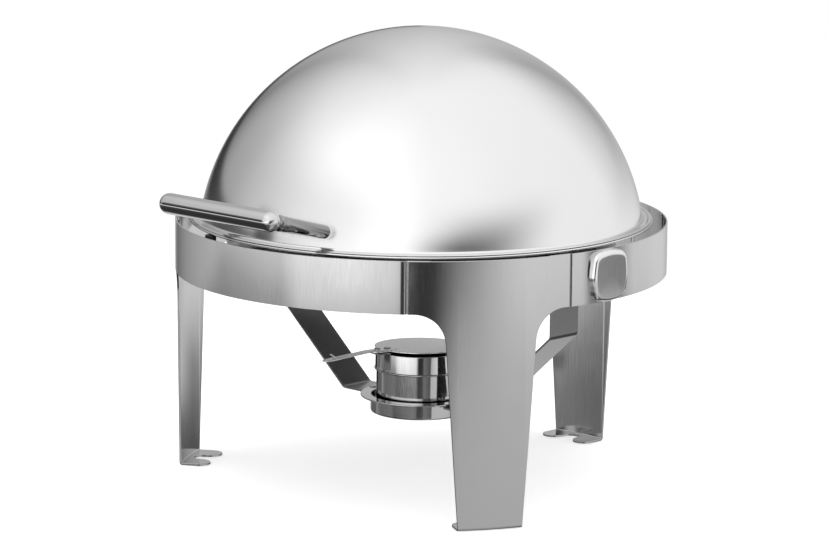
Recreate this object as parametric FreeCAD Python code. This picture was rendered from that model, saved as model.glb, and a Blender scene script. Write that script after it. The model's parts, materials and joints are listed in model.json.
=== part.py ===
import FreeCAD, Part
import math
import os

# Round roll-top chafing dish.  Millimetres, +Z up.
# Origin: on the table, under the centre of the dome.  The handle points to -Y.
# Azimuth 0 is the handle side (-Y) and grows towards +X.

V = FreeCAD.Vector
X_AXIS = V(1, 0, 0)
Y_AXIS = V(0, 1, 0)
Z_AXIS = V(0, 0, 1)
ORIGIN = V(0, 0, 0)
SIDES = {"right": 1, "left": -1}

# ---- driving dimensions ---------------------------------------------------
# outer ring and legs
RING_R = 235.0            # outside radius of the ring
RING_TOP = 251.0
RING_HEIGHT = 49.0
BAND_T = 1.5              # sheet of the three ring bands
PLATE_T = 2.0             # sheet of the three leg plates
LEG_AZIMUTHS = {"front_right": 60.0, "front_left": -60.0, "rear": 180.0}
BAND_AZIMUTHS = {"front": 0.0, "right": 120.0, "left": -120.0}
WING_HALF_WIDTH = 76.9    # half width of a leg plate where it is part of the ring
LEG_HALF_TOP = 44.8       # half width of the leg just under the ring
LEG_HALF_FOOT = 31.0
WEB_FILLET = 29.0
SEAM_GROOVE_DEG = 0.7     # joggle at each end of a band
LAP_DEG = 5.0             # length of band hidden behind a leg plate
FOOT_BEND = 4.0           # outside radius of the bend at the floor
TOE_REACH = 205.0         # radius that the toe tips reach in to
TOE_R = 11.0
NOTCH_R = 9.0

# roll-top pivot
PIVOT_Z = 227.0
STUD_R = 4.0
STUD_HOLE_R = 4.1
EAR_HOLE_R = 4.05         # running fit on the stud
BUSH_R = 8.0
RUN_GAP = 0.3

# dome
DOME_R = 213.7
DOME_CENTRE_Z = 220.0
DOME_T = 1.0
NECK_R = 2.8              # fillet between the dome and its flange
FLANGE_TOP = 253.3
BEAD_R0 = 215.8
BEAD_R1 = 220.2
BEAD_RISE = 0.9
RIM_TUBE_R = 1.0
RIM_TUBE_AT = (220.2, FLANGE_TOP - DOME_T - RIM_TUBE_R)

# dome ears
EAR_T = 2.0
EAR_OUTER_X = 209.6
EAR_HALF_W = 15.0
EAR_LOBE_R = 13.0
EAR_BLADE_TOP = 255.0
EAR_WELD_LOW = 251.0
EAR_WELD_HIGH = 276.0
EAR_WELD_HALF_W = 18.0

# pan carrier
CARRIER_R = 186.0
CARRIER_T = 1.5
CARRIER_BOTTOM = 214.0
CARRIER_TOP = 248.5
CARRIER_LIP_R = 191.0

# pans
WATER_PAN_R = 172.0
WATER_PAN_BOTTOM = 192.0
FOOD_PAN_R = 168.0
FOOD_PAN_BOTTOM = 200.0
PAN_T = 0.8
PAN_CORNER_R = 22.0
WATER_RIM_R = 188.0
FOOD_RIM_R = 177.0
PAN_REST_GAP = 0.1        # between a loose piece and what it stands on
FOOD_BEAD_R = 1.6

# bridges between the ring and the carrier, with rubber lid rests
BRIDGE_AZIMUTH = 19.5
BRIDGE_HALF_W = 15.0
BRIDGE_T = 2.0
BRIDGE_TOP = 231.0
BRIDGE_LOW = 212.0        # lower end of the tab on the ring wall
BRIDGE_RIVET_DEG = 2.2
BUMPER_R = 5.5
BUMPER_AT_R = 220.0
BUMPER_TOP = 250.2
BUMPER_STEM_R = 2.5
BUMPER_BARB_R = 3.6
BUMPER_BARB_H = 3.0

# burner straps and holder
STRAP_HALF_W = 19.0
STRAP_T = 2.0
STRAP_PATH = ((183.5, 245.0), (183.5, 162.5), (85.0, 75.5), (48.8, 75.5))
STRAP_BEND = 5.0
STRAP_RIVET_Z = 240.0
STRAP_RIVET_ROWS = {"front": -11.0, "rear": 11.0}
DISH_RIVET_X = 52.6
DISH_FLANGE_R = 57.5
DISH_FLANGE_TOP = 79.0
DISH_R = 47.8
DISH_BOTTOM = 62.2
DISH_FOOT_R = 0.7
DISH_T = 0.8
DISH_FLANGE_T = 1.5
RIVET_R = 2.0
RIVET_HEAD_R = 3.5
RIVET_HEAD_H = 1.2
HEAD_SEAT = 0.05          # a flat rivet head stands this far off a hollow wall

# fuel cup, collar and damper
CUP_R = 42.2
CUP_T = 0.8
CUP_TOP = 119.0
COLLAR_R = 43.2
COLLAR_BOTTOM = 103.5
COLLAR_TOP = 123.0
COLLAR_MOUTH_R = 36.0
COLLAR_BEAD_R = 1.1
LID_R = 44.2
LID_Z = 125.0             # underside at the middle of the lid
LID_T = 1.0
LID_TILT_DEG = 1.8        # the lid sits a little proud of the collar on one side
LID_TILT_AZIMUTH = 44.0
TONGUE_R = 9.0
DAMPER_PIVOT = (-8.0, -51.0)
DAMPER_PIN_R = 2.0
DAMPER_HOLE_R = 2.05
PIN_FOOT_R = 3.2
PIN_HEAD_R = 3.4
LEVER_FROM = (-4.5, -34.0)
LEVER_TO = (-16.0, -109.5)
LEVER_W = 11.0
LEVER_T = 1.0
LEVER_BEND_AT = 28.0      # from the heel
LEVER_DROP_DEG = 4.8
LEVER_RIVET_AT = 6.0
WINDOW_AT = 9.5           # from the middle of the lever's round end
WINDOW_W = 5.0
WINDOW_L = 9.0
FINGER_W = 3.5
FINGER_L = 8.0
FINGER_LEAN_DEG = 45.0
CLIP_W = 19.0
CLIP_T = 1.2
CLIP_LOW = 108.0
CLIP_TOP = 125.3
CLIP_PAST_PIN = 5.5

# handle
GRIP_R = 9.8
GRIP_HALF = 65.6
GRIP_AT = (-266.0, 287.2)
ARM_DROP_DEG = 14.5
ARM_R_GRIP = 7.3
ARM_R_DOME = 6.5
ARM_NECK_R = 5.9
ARM_COLLAR_R = 7.5
ARM_COLLAR_L = 2.6
SCREW_R = 2.5
SCREW_HEAD_R = 4.6
SCREW_HEAD_H = 3.0
SADDLE_R = 8.0
SADDLE_T = 4.2

# pivot caps
CAP_W = 45.0
CAP_H = 46.0
CAP_DEPTH = 5.8
CAP_CORNER = 11.0
CAP_BULGE = 1.2
CAP_BEVEL = 3.8
CAP_AT = (2.5, RING_TOP - RING_HEIGHT / 2.0)
CAP_STUD_DEPTH = 3.0
PIVOT_NUT_W = 13.0
PIVOT_NUT_H = 6.0


# ---- helpers --------------------------------------------------------------
def save(name, shape):
    shape.exportStep("parts/" + name + ".step")


def polar(r, azimuth, z=0.0):
    a = math.radians(azimuth)
    return V(r * math.sin(a), -r * math.cos(a), z)


def turned(shape, azimuth):
    """Turn a shape drawn on the -Y side round to another azimuth."""
    return shape.rotated(ORIGIN, Z_AXIS, azimuth)


def sided(shape, side):
    """Mirror a shape drawn on the +X side when the other side is wanted."""
    if side > 0:
        return shape
    return shape.mirror(ORIGIN, X_AXIS)


def rod(radius, start, end):
    direction = end - start
    return Part.makeCylinder(radius, direction.Length, start, direction)


def tube(r_out, r_in, z0, z1):
    outer = Part.makeCylinder(r_out, z1 - z0, V(0, 0, z0))
    return outer.cut(Part.makeCylinder(r_in, z1 - z0, V(0, 0, z0)))


def spun(edges, sweep=360.0, start=0.0):
    """Revolve a closed chain of edges, drawn in the XZ plane, about Z."""
    face = Part.Face(Part.Wire(edges))
    face = face.rotated(ORIGIN, Z_AXIS, start)
    return face.revolve(ORIGIN, Z_AXIS, sweep)


def chain(points, closed=True):
    """Straight edges through (x, z) points in the XZ plane."""
    places = [V(x, 0, z) for x, z in points]
    if closed:
        places.append(places[0])
    return [Part.makeLine(a, b) for a, b in zip(places, places[1:])]


def arc_about(centre, radius, deg0, deg1):
    """Arc in the XZ plane; angles from +X towards +Z."""
    def at(deg):
        a = math.radians(deg)
        return V(centre[0] + radius * math.cos(a), 0, centre[1] + radius * math.sin(a))
    return Part.Arc(at(deg0), at((deg0 + deg1) / 2.0), at(deg1)).toShape()


def ends(edge):
    return edge.valueAt(edge.FirstParameter), edge.valueAt(edge.LastParameter)


def joined(edges):
    """Close a chain of arcs with straight lines between their ends."""
    out = []
    for here, after in zip(edges, edges[1:] + edges[:1]):
        out.append(here)
        a = ends(here)[1]
        b = ends(after)[0]
        if (b - a).Length > 1e-6:
            out.append(Part.makeLine(a, b))
    return out


def plan_arc(radius, az0, az1):
    mid = (az0 + az1) / 2.0
    return Part.Arc(polar(radius, az0), polar(radius, mid), polar(radius, az1)).toShape()


def edges_along(shape, axis, test):
    """Straight edges parallel to axis whose middle passes the test."""
    found = []
    for edge in shape.Edges:
        a, b = ends(edge)
        run = b - a
        if run.Length < 1e-6 or run.cross(axis).Length > 1e-6 * run.Length:
            continue
        if test((a + b) * 0.5):
            found.append(edge)
    return found


def rivet(start, end):
    """Round shank between two faces, with a low head on each."""
    way = (end - start).normalize()
    body = rod(RIVET_R, start - way * RIVET_HEAD_H, end + way * RIVET_HEAD_H)
    low = rod(RIVET_HEAD_R, start - way * RIVET_HEAD_H, start)
    high = rod(RIVET_HEAD_R, end, end + way * RIVET_HEAD_H)
    return body.fuse([low, high]).removeSplitter()


# ---- ring and legs --------------------------------------------------------
def leg_plate():
    """T-shaped plate: a piece of the ring, a tapering leg and a toed foot."""
    ring_bottom = RING_TOP - RING_HEIGHT
    inner = RING_R - PLATE_T
    bend_inner = FOOT_BEND - PLATE_T
    centre = (RING_R - FOOT_BEND, FOOT_BEND)
    section = joined([
        chain([(RING_R, RING_TOP), (RING_R, FOOT_BEND)], False)[0],
        arc_about(centre, FOOT_BEND, 0, -90),
        chain([(centre[0], 0), (TOE_REACH - 3, 0)], False)[0],
        chain([(TOE_REACH - 3, PLATE_T), (centre[0], PLATE_T)], False)[0],
        arc_about(centre, bend_inner, -90, 0),
        chain([(inner, FOOT_BEND), (inner, RING_TOP)], False)[0],
    ])
    sheet = spun(section, 44.0, -90.0 - 22.0)

    half = [(WING_HALF_WIDTH, RING_TOP), (WING_HALF_WIDTH, ring_bottom),
            (LEG_HALF_TOP, ring_bottom), (LEG_HALF_FOOT, FOOT_BEND), (LEG_HALF_FOOT, 0)]
    outline = half + [(-x, z) for x, z in reversed(half)]
    blank = Part.Face(Part.Wire(chain(outline)))
    blank.translate(V(0, -RING_R - 5, 0))
    blank = blank.extrude(V(0, 50, 0))
    corners = edges_along(
        blank, Y_AXIS,
        lambda p: abs(abs(p.x) - LEG_HALF_TOP) < 0.1 and abs(p.z - ring_bottom) < 0.1)
    blank = blank.makeFillet(WEB_FILLET, corners)
    plate = sheet.common(blank)

    toe_y = -(TOE_REACH + TOE_R)
    toe_x = LEG_HALF_FOOT - TOE_R
    back = -RING_R - 5
    plan = joined([
        Part.makeLine(V(-LEG_HALF_FOOT, back, 0), V(-LEG_HALF_FOOT, toe_y, 0)),
        Part.Arc(V(-LEG_HALF_FOOT, toe_y, 0), V(-toe_x, toe_y + TOE_R, 0),
                 V(-toe_x + TOE_R, toe_y, 0)).toShape(),
        Part.Arc(V(-NOTCH_R, toe_y - 2, 0), V(0, toe_y - 2 - NOTCH_R, 0),
                 V(NOTCH_R, toe_y - 2, 0)).toShape(),
        Part.Arc(V(toe_x - TOE_R, toe_y, 0), V(toe_x, toe_y + TOE_R, 0),
                 V(LEG_HALF_FOOT, toe_y, 0)).toShape(),
        Part.makeLine(V(LEG_HALF_FOOT, toe_y, 0), V(LEG_HALF_FOOT, back, 0)),
    ])
    kept = Part.Face(Part.Wire(plan)).extrude(V(0, 0, FOOT_BEND))
    foot_zone = Part.makeBox(100, 60, FOOT_BEND - 0.5, V(-50, back, 0))
    return plate.cut(foot_zone.cut(kept))


def ring_band():
    """Band between two leg plates, its ends joggled in behind them."""
    half_span = 60.0 - math.degrees(math.asin(WING_HALF_WIDTH / RING_R))
    face_end = half_span - SEAM_GROOVE_DEG
    step_end = half_span - 0.25
    tab_end = half_span + LAP_DEG
    inner = RING_R - BAND_T
    tab_out = RING_R - PLATE_T
    tab_in = tab_out - BAND_T
    outline = joined([
        plan_arc(RING_R, -face_end, face_end),
        plan_arc(tab_out, step_end, tab_end),
        plan_arc(tab_in, tab_end, step_end),
        plan_arc(inner, face_end, -face_end),
        plan_arc(tab_in, -step_end, -tab_end),
        plan_arc(tab_out, -tab_end, -step_end),
    ])
    band = Part.Face(Part.Wire(outline)).extrude(V(0, 0, RING_HEIGHT))
    band.translate(V(0, 0, RING_TOP - RING_HEIGHT))
    return band


def build_ring():
    plate = leg_plate()
    for name, azimuth in LEG_AZIMUTHS.items():
        save("leg_" + name, turned(plate, azimuth))
    band = ring_band()
    stud_hole = rod(STUD_HOLE_R, V(-RING_R - 9, 0, PIVOT_Z), V(RING_R + 9, 0, PIVOT_Z))
    for name, azimuth in BAND_AZIMUTHS.items():
        save("band_" + name, turned(band, azimuth).cut(stud_hole))


# ---- pan carrier and bridges ----------------------------------------------
def bridge():
    """Bent strip, drawn on the -Y side, from the ring wall to the carrier."""
    ring_in = RING_R - BAND_T
    under = BRIDGE_TOP - BRIDGE_T
    section = chain([
        (ring_in, BRIDGE_LOW), (ring_in, BRIDGE_TOP), (CARRIER_R, BRIDGE_TOP),
        (CARRIER_R, CARRIER_BOTTOM + 1), (CARRIER_R + BRIDGE_T, CARRIER_BOTTOM + 1),
        (CARRIER_R + BRIDGE_T, under), (ring_in - BRIDGE_T, under),
        (ring_in - BRIDGE_T, BRIDGE_LOW)])
    strip = spun(section, 16.0, -90.0 - 8.0)
    width = Part.makeBox(2 * BRIDGE_HALF_W, 80, 60, V(-BRIDGE_HALF_W, -RING_R, 200))
    return strip.common(width)


def bumper():
    """Rubber button with a stem through the bridge."""
    at = V(0, -BUMPER_AT_R, 0)
    button = rod(BUMPER_R, at + V(0, 0, BRIDGE_TOP), at + V(0, 0, BUMPER_TOP))
    rim = edges_of_top(button, BUMPER_TOP)
    button = button.makeFillet(1.0, rim)
    under = BRIDGE_TOP - BRIDGE_T
    foot = at + V(0, 0, under - BUMPER_BARB_H)
    stem = rod(BUMPER_STEM_R, foot, at + V(0, 0, BRIDGE_TOP))
    barb = rod(BUMPER_BARB_R, foot, at + V(0, 0, under))
    return button.fuse([stem, barb]).removeSplitter()


def edges_of_top(shape, z):
    return [e for e in shape.Edges if e.BoundBox.ZMin > z - 0.01]


def bridge_rivet_line(offset):
    """Ends of a radial rivet, a little round the ring from the bridge's middle."""
    z = CARRIER_BOTTOM + 7.0
    seat = CARRIER_R - CARRIER_T - HEAD_SEAT
    return polar(CARRIER_R + BRIDGE_T, offset, z), polar(seat, offset, z)


def build_carrier():
    r_in = CARRIER_R - CARRIER_T
    lip = CARRIER_TOP - CARRIER_T
    section = chain([
        (r_in, CARRIER_BOTTOM), (CARRIER_R, CARRIER_BOTTOM), (CARRIER_R, lip),
        (CARRIER_LIP_R, lip), (CARRIER_LIP_R, CARRIER_TOP), (r_in, CARRIER_TOP)])
    carrier = spun(section)
    holes = [rod(STUD_HOLE_R, V(-200, 0, PIVOT_Z), V(200, 0, PIVOT_Z))]
    arm = bridge()
    stem_hole = rod(BUMPER_STEM_R + 0.05, V(0, -BUMPER_AT_R, BRIDGE_LOW),
                    V(0, -BUMPER_AT_R, BRIDGE_TOP + 9))
    arm = arm.cut(stem_hole)
    for name, side in SIDES.items():
        azimuth = side * BRIDGE_AZIMUTH
        lines = {"inner": -side * BRIDGE_RIVET_DEG, "outer": side * BRIDGE_RIVET_DEG}
        pierced = arm
        for place, offset in lines.items():
            a, b = bridge_rivet_line(offset)
            reach = (b - a).normalize() * 9
            hole = rod(RIVET_R, a - reach, b + reach)
            pierced = pierced.cut(hole)
            holes.append(turned(hole, azimuth))
            save("bridge_rivet_" + name + "_" + place, turned(rivet(a, b), azimuth))
        save("bridge_" + name, turned(pierced, azimuth))
        save("lid_bumper_" + name, turned(bumper(), azimuth))
        for y in STRAP_RIVET_ROWS.values():
            z = STRAP_RIVET_Z
            holes.append(rod(RIVET_R, V(side * 170, y, z), V(side * 195, y, z)))
    save("pan_carrier_ring", carrier.cut(holes))


# ---- pans -----------------------------------------------------------------
def pan(radius, bottom, rim_r, rim_z):
    """Straight-sided pan: wall, rounded corner, flat bottom and flat rim."""
    r_in = radius - PAN_T
    corner_in = PAN_CORNER_R - PAN_T
    centre = (radius - PAN_CORNER_R, bottom + PAN_CORNER_R)
    section = joined([
        chain([(0, bottom), (centre[0], bottom)], False)[0],
        arc_about(centre, PAN_CORNER_R, -90, 0),
        chain([(radius, rim_z), (rim_r, rim_z)], False)[0],
        chain([(rim_r, rim_z + PAN_T), (r_in, rim_z + PAN_T)], False)[0],
        arc_about(centre, corner_in, 0, -90),
        chain([(centre[0], bottom + PAN_T), (0, bottom + PAN_T)], False)[0],
    ])
    return spun(section)


def build_pans():
    water_rim = CARRIER_TOP + PAN_REST_GAP
    save("water_pan", pan(WATER_PAN_R, WATER_PAN_BOTTOM, WATER_RIM_R, water_rim))
    food_rim = water_rim + PAN_T + PAN_REST_GAP
    dish = pan(FOOD_PAN_R, FOOD_PAN_BOTTOM, FOOD_RIM_R, food_rim)
    bead = Part.makeTorus(FOOD_RIM_R, FOOD_BEAD_R, V(0, 0, food_rim + FOOD_BEAD_R))
    save("food_pan", dish.fuse(bead).removeSplitter())


# ---- dome -----------------------------------------------------------------
def neck_centre():
    z = FLANGE_TOP + NECK_R
    reach = DOME_R + NECK_R
    return math.sqrt(reach ** 2 - (z - DOME_CENTRE_Z) ** 2), z


def dome_shell():
    """Spherical sheet with a filleted neck and a beaded flange, in one piece."""
    neck = neck_centre()
    centre = (0.0, DOME_CENTRE_Z)
    meet = math.degrees(math.atan2(neck[1] - DOME_CENTRE_Z, neck[0]))
    under = FLANGE_TOP - DOME_T
    mid = (BEAD_R0 + BEAD_R1) / 2.0
    bead = Part.Arc(V(BEAD_R0, 0, FLANGE_TOP), V(mid, 0, FLANGE_TOP + BEAD_RISE),
                    V(BEAD_R1, 0, FLANGE_TOP)).toShape()
    section = joined([
        arc_about(centre, DOME_R, 90, meet),
        arc_about(neck, NECK_R, 180 + meet, 270),
        bead,
        chain([(BEAD_R1, under), (neck[0], under)], False)[0],
        arc_about(neck, NECK_R + DOME_T, 270, 180 + meet),
        arc_about(centre, DOME_R - DOME_T, meet, 90),
    ])
    return spun(section)


def dome_rim():
    """Rolled edge under the flange: a flat ring and the bead it carries."""
    top = FLANGE_TOP - DOME_T
    low = top - DOME_T
    inner_r = BEAD_R0 + 0.6
    centre_r, centre_z = RIM_TUBE_AT
    meet = 180.0 - math.degrees(math.asin((low - centre_z) / RIM_TUBE_R))
    section = joined([
        chain([(inner_r, top), (centre_r, top)], False)[0],
        arc_about(RIM_TUBE_AT, RIM_TUBE_R, 90.0, meet - 360.0),
        chain([(inner_r, low), (inner_r, top)], False)[0],
    ])
    return spun(section)


def dome_ear():
    """Hanger welded inside the dome, on the +X side, down to the pivot."""
    x0 = EAR_OUTER_X - EAR_T
    lobe = rod(EAR_LOBE_R, V(x0, 0, PIVOT_Z), V(EAR_OUTER_X, 0, PIVOT_Z))
    blade = Part.makeBox(EAR_T, 2 * EAR_HALF_W, EAR_BLADE_TOP - PIVOT_Z,
                         V(x0, -EAR_HALF_W, PIVOT_Z))
    centre = V(0, 0, DOME_CENTRE_Z)
    inner = Part.makeSphere(DOME_R - DOME_T, centre)
    shell = inner.cut(Part.makeSphere(DOME_R - DOME_T - EAR_T, centre))
    patch = Part.makeBox(DOME_R, 2 * EAR_WELD_HALF_W, EAR_WELD_HIGH - EAR_WELD_LOW,
                         V(x0 - 10, -EAR_WELD_HALF_W, EAR_WELD_LOW))
    ear = blade.common(inner).fuse([lobe, shell.common(patch)])
    hole = rod(EAR_HOLE_R, V(x0 - 1, 0, PIVOT_Z), V(EAR_OUTER_X + 1, 0, PIVOT_Z))
    return ear.cut(hole).removeSplitter()


def arm_way():
    a = math.radians(ARM_DROP_DEG)
    return V(0, math.cos(a), -math.sin(a))


def reach_to_sphere(radius):
    """Distance along an arm from the grip's axis to a sphere round the dome's centre."""
    start = V(GRIP_HALF, GRIP_AT[0], GRIP_AT[1] - DOME_CENTRE_Z)
    along = start.dot(arm_way())
    return -along - math.sqrt(along ** 2 - start.Length ** 2 + radius ** 2)


def handle_arm(grip):
    """Tapered arm with a neck and a collar next to the grip, on the +X side."""
    start = V(GRIP_HALF, GRIP_AT[0], GRIP_AT[1])
    way = arm_way()
    length = reach_to_sphere(DOME_R) + 8
    collar_at = GRIP_R + 2.0
    taper_at = collar_at + ARM_COLLAR_L
    neck = rod(ARM_NECK_R, start, start + way * (collar_at + 1))
    collar = rod(ARM_COLLAR_R, start + way * collar_at, start + way * taper_at)
    taper = Part.makeCone(ARM_R_GRIP, ARM_R_DOME, length - taper_at, start + way * taper_at, way)
    arm = neck.fuse([collar, taper])
    dome = Part.makeSphere(DOME_R, V(0, 0, DOME_CENTRE_Z))
    inside = reach_to_sphere(DOME_R)
    bore = rod(SCREW_R + 0.05, start + way * (inside - 20), start + way * (inside + 20))
    return arm.cut([grip, dome, bore]).removeSplitter()


def handle_fixings():
    """Saddle washer and screw inside the dome, on the +X side."""
    start = V(GRIP_HALF, GRIP_AT[0], GRIP_AT[1])
    way = arm_way()
    wall = reach_to_sphere(DOME_R - DOME_T)
    seat = wall + SADDLE_T
    inner = Part.makeSphere(DOME_R - DOME_T, V(0, 0, DOME_CENTRE_Z))
    saddle = rod(SADDLE_R, start + way * (wall - 6), start + way * seat).common(inner)
    saddle = saddle.cut(rod(SCREW_R + 0.05, start + way * (wall - 8), start + way * (seat + 1)))
    shank = rod(SCREW_R, start + way * (wall - 18), start + way * seat)
    head = rod(SCREW_HEAD_R, start + way * seat, start + way * (seat + SCREW_HEAD_H))
    return saddle, shank.fuse(head).removeSplitter()


def build_dome():
    start = V(GRIP_HALF, GRIP_AT[0], GRIP_AT[1])
    end = V(-GRIP_HALF, GRIP_AT[0], GRIP_AT[1])
    grip = rod(GRIP_R, start, end)
    grip = grip.fuse([Part.makeSphere(GRIP_R, start), Part.makeSphere(GRIP_R, end)])
    grip = grip.removeSplitter()
    save("handle_grip", grip)
    arm = handle_arm(grip)
    saddle, screw = handle_fixings()
    shell = dome_shell()
    way = arm_way()
    wall = reach_to_sphere(DOME_R)
    for name, side in SIDES.items():
        hole = rod(SCREW_R + 0.25, start + way * (wall - 9), start + way * (wall + 12))
        shell = shell.cut(sided(hole, side))
        save("handle_arm_" + name, sided(arm, side))
        save("handle_saddle_" + name, sided(saddle, side))
        save("handle_screw_" + name, sided(screw, side))
        save("dome_ear_" + name, sided(dome_ear(), side))
    save("dome_shell", shell)
    save("dome_rim", dome_rim())


# ---- pivots ---------------------------------------------------------------
def pivot_cap():
    """Cushion-shaped cover on the ring, on the +X side, bored for the stud."""
    hy = CAP_W / 2.0
    hz = CAP_H / 2.0
    back = RING_R - 8

    def side_arc(a, b, outward):
        mid = (a + b) * 0.5 + outward * CAP_BULGE
        return Part.Arc(a, mid, b).toShape()
    corners = [V(back, -hy, -hz), V(back, hy, -hz), V(back, hy, hz), V(back, -hy, hz)]
    outward = [V(0, 0, -1), V(0, 1, 0), V(0, 0, 1), V(0, -1, 0)]
    sides = []
    for i in range(4):
        sides.append(side_arc(corners[i], corners[(i + 1) % 4], outward[i]))
    front = RING_R + CAP_DEPTH
    block = Part.Face(Part.Wire(sides)).extrude(V(front - back, 0, 0))
    block = block.makeFillet(CAP_CORNER, edges_along(block, X_AXIS, lambda p: True))
    rim = [e for e in block.Edges if e.BoundBox.XMin > front - 0.01]
    block = block.makeFillet(CAP_BEVEL, rim)
    block.translate(V(0, *CAP_AT))
    ring = Part.makeCylinder(RING_R, 2 * RING_TOP)
    hole = rod(STUD_R, V(back, 0, PIVOT_Z), V(RING_R + CAP_STUD_DEPTH, 0, PIVOT_Z))
    return block.cut([ring, hole])


def hex_nut(across, x_near, x_far):
    """Hexagonal nut round the pivot axis between two x positions."""
    corner = across / math.sqrt(3.0)
    points = []
    for i in range(7):
        a = math.radians(60 * i)
        points.append(V(x_near, corner * math.cos(a), PIVOT_Z + corner * math.sin(a)))
    body = Part.Face(Part.makePolygon(points)).extrude(V(x_far - x_near, 0, 0))
    bore = rod(STUD_R, V(x_near - 1, 0, PIVOT_Z), V(x_far + 1, 0, PIVOT_Z))
    return body.cut(bore)


def bush(x0, x1):
    outer = rod(BUSH_R, V(x0, 0, PIVOT_Z), V(x1, 0, PIVOT_Z))
    return outer.cut(rod(STUD_HOLE_R, V(x0 - 1, 0, PIVOT_Z), V(x1 + 1, 0, PIVOT_Z)))


def build_pivots():
    nut_outer = STRAP_PATH[0][0] - STRAP_T
    nut_inner = nut_outer - PIVOT_NUT_H
    ring_in = math.sqrt((RING_R - BAND_T) ** 2 - BUSH_R ** 2)
    parts = {
        "pivot_cap": pivot_cap(),
        "pivot_stud": rod(STUD_R, V(nut_inner - 0.6, 0, PIVOT_Z),
                          V(RING_R + CAP_STUD_DEPTH, 0, PIVOT_Z)),
        "pivot_bush_outer": bush(EAR_OUTER_X + RUN_GAP, ring_in),
        "pivot_bush_inner": bush(CARRIER_R, EAR_OUTER_X - EAR_T - RUN_GAP),
        "pivot_nut": hex_nut(PIVOT_NUT_W, nut_inner, nut_outer),
    }
    for part, shape in parts.items():
        for name, side in SIDES.items():
            save(part + "_" + name, sided(shape, side))


# ---- burner ---------------------------------------------------------------
def offset_path(path, distance):
    """Parallel copy of an open path of (x, z) points, to its left."""
    out = []
    for i, (x, z) in enumerate(path):
        normals = []
        for a, b in ((i - 1, i), (i, i + 1)):
            if 0 <= a and b < len(path):
                dx = path[b][0] - path[a][0]
                dz = path[b][1] - path[a][1]
                run = math.hypot(dx, dz)
                normals.append((-dz / run, dx / run))
        nx = sum(n[0] for n in normals) / len(normals)
        nz = sum(n[1] for n in normals) / len(normals)
        scale = distance / (nx * nx + nz * nz)
        out.append((x + nx * scale, z + nz * scale))
    return out


def bent_strip(path, thickness, half_width, inside_r):
    """Flat bar bent along a path that is its outer face, extruded along Y."""
    inner = offset_path(path, -thickness)
    blank = Part.Face(Part.Wire(chain(list(path) + inner[::-1])))
    blank.translate(V(0, -half_width, 0))
    blank = blank.extrude(V(0, 2 * half_width, 0))
    for spots, radius in ((inner[1:-1], inside_r), (path[1:-1], inside_r + thickness)):
        for x, z in spots:
            found = edges_along(
                blank, Y_AXIS,
                lambda p: abs(p.x - x) < 0.01 and abs(p.z - z) < 0.01)
            blank = blank.makeFillet(radius, found)
    return blank


def build_burner_mount():
    strap = bent_strip(STRAP_PATH, STRAP_T, STRAP_HALF_W, STRAP_BEND)
    outer = STRAP_PATH[0][0]
    strap = strap.cut(rod(STUD_HOLE_R, V(outer - 9, 0, PIVOT_Z), V(outer + 9, 0, PIVOT_Z)))
    flange_low = DISH_FLANGE_TOP - DISH_FLANGE_T
    strap_low = flange_low - STRAP_T
    dish_holes = []
    for place, y in STRAP_RIVET_ROWS.items():
        proud = math.sqrt(CARRIER_R ** 2 - (abs(y) - RIVET_HEAD_R) ** 2)
        top = (V(outer - STRAP_T, y, STRAP_RIVET_Z), V(proud, y, STRAP_RIVET_Z))
        low = (V(DISH_RIVET_X, y, strap_low), V(DISH_RIVET_X, y, DISH_FLANGE_TOP))
        strap = strap.cut(rod(RIVET_R, top[0] - V(9, 0, 0), top[1] + V(9, 0, 0)))
        hole = rod(RIVET_R, low[0] - V(0, 0, 9), low[1] + V(0, 0, 9))
        strap = strap.cut(hole)
        for name, side in SIDES.items():
            save("strap_rivet_" + name + "_" + place, sided(rivet(*top), side))
            save("dish_rivet_" + name + "_" + place, sided(rivet(*low), side))
            dish_holes.append(sided(hole, side))
    for name, side in SIDES.items():
        save("strap_" + name, sided(strap, side))

    r_in = DISH_R - DISH_T
    dish = spun(chain([
        (0, DISH_BOTTOM), (DISH_R, DISH_BOTTOM), (DISH_R, flange_low),
        (DISH_FLANGE_R, flange_low), (DISH_FLANGE_R, DISH_FLANGE_TOP),
        (r_in, DISH_FLANGE_TOP), (r_in, DISH_BOTTOM + DISH_T), (0, DISH_BOTTOM + DISH_T)]))
    foot = [e for e in dish.Edges if e.BoundBox.ZMax < DISH_BOTTOM + 0.01 and e.Length > 200]
    dish = dish.makeFillet(DISH_FOOT_R, foot)
    save("holder_dish", dish.cut(dish_holes))


def clip_azimuth():
    return math.degrees(math.atan2(DAMPER_PIVOT[0], -DAMPER_PIVOT[1]))


def collar_clip():
    """Bracket welded to the collar that carries the damper's pin."""
    tab_low = CLIP_TOP - CLIP_T
    reach = math.hypot(*DAMPER_PIVOT) + CLIP_PAST_PIN
    section = chain([
        (COLLAR_R, CLIP_LOW), (COLLAR_R, CLIP_TOP), (reach, CLIP_TOP),
        (reach, tab_low), (COLLAR_R + CLIP_T, tab_low), (COLLAR_R + CLIP_T, CLIP_LOW)])
    strip = spun(section, 40.0, -90.0 - 20.0)
    width = Part.makeBox(CLIP_W, reach, CLIP_TOP, V(-CLIP_W / 2.0, -reach - 1, 0))
    clip = turned(strip.common(width), clip_azimuth())
    x, y = DAMPER_PIVOT
    return clip.cut(rod(DAMPER_PIN_R, V(x, y, CLIP_LOW), V(x, y, CLIP_TOP + 9)))


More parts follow.
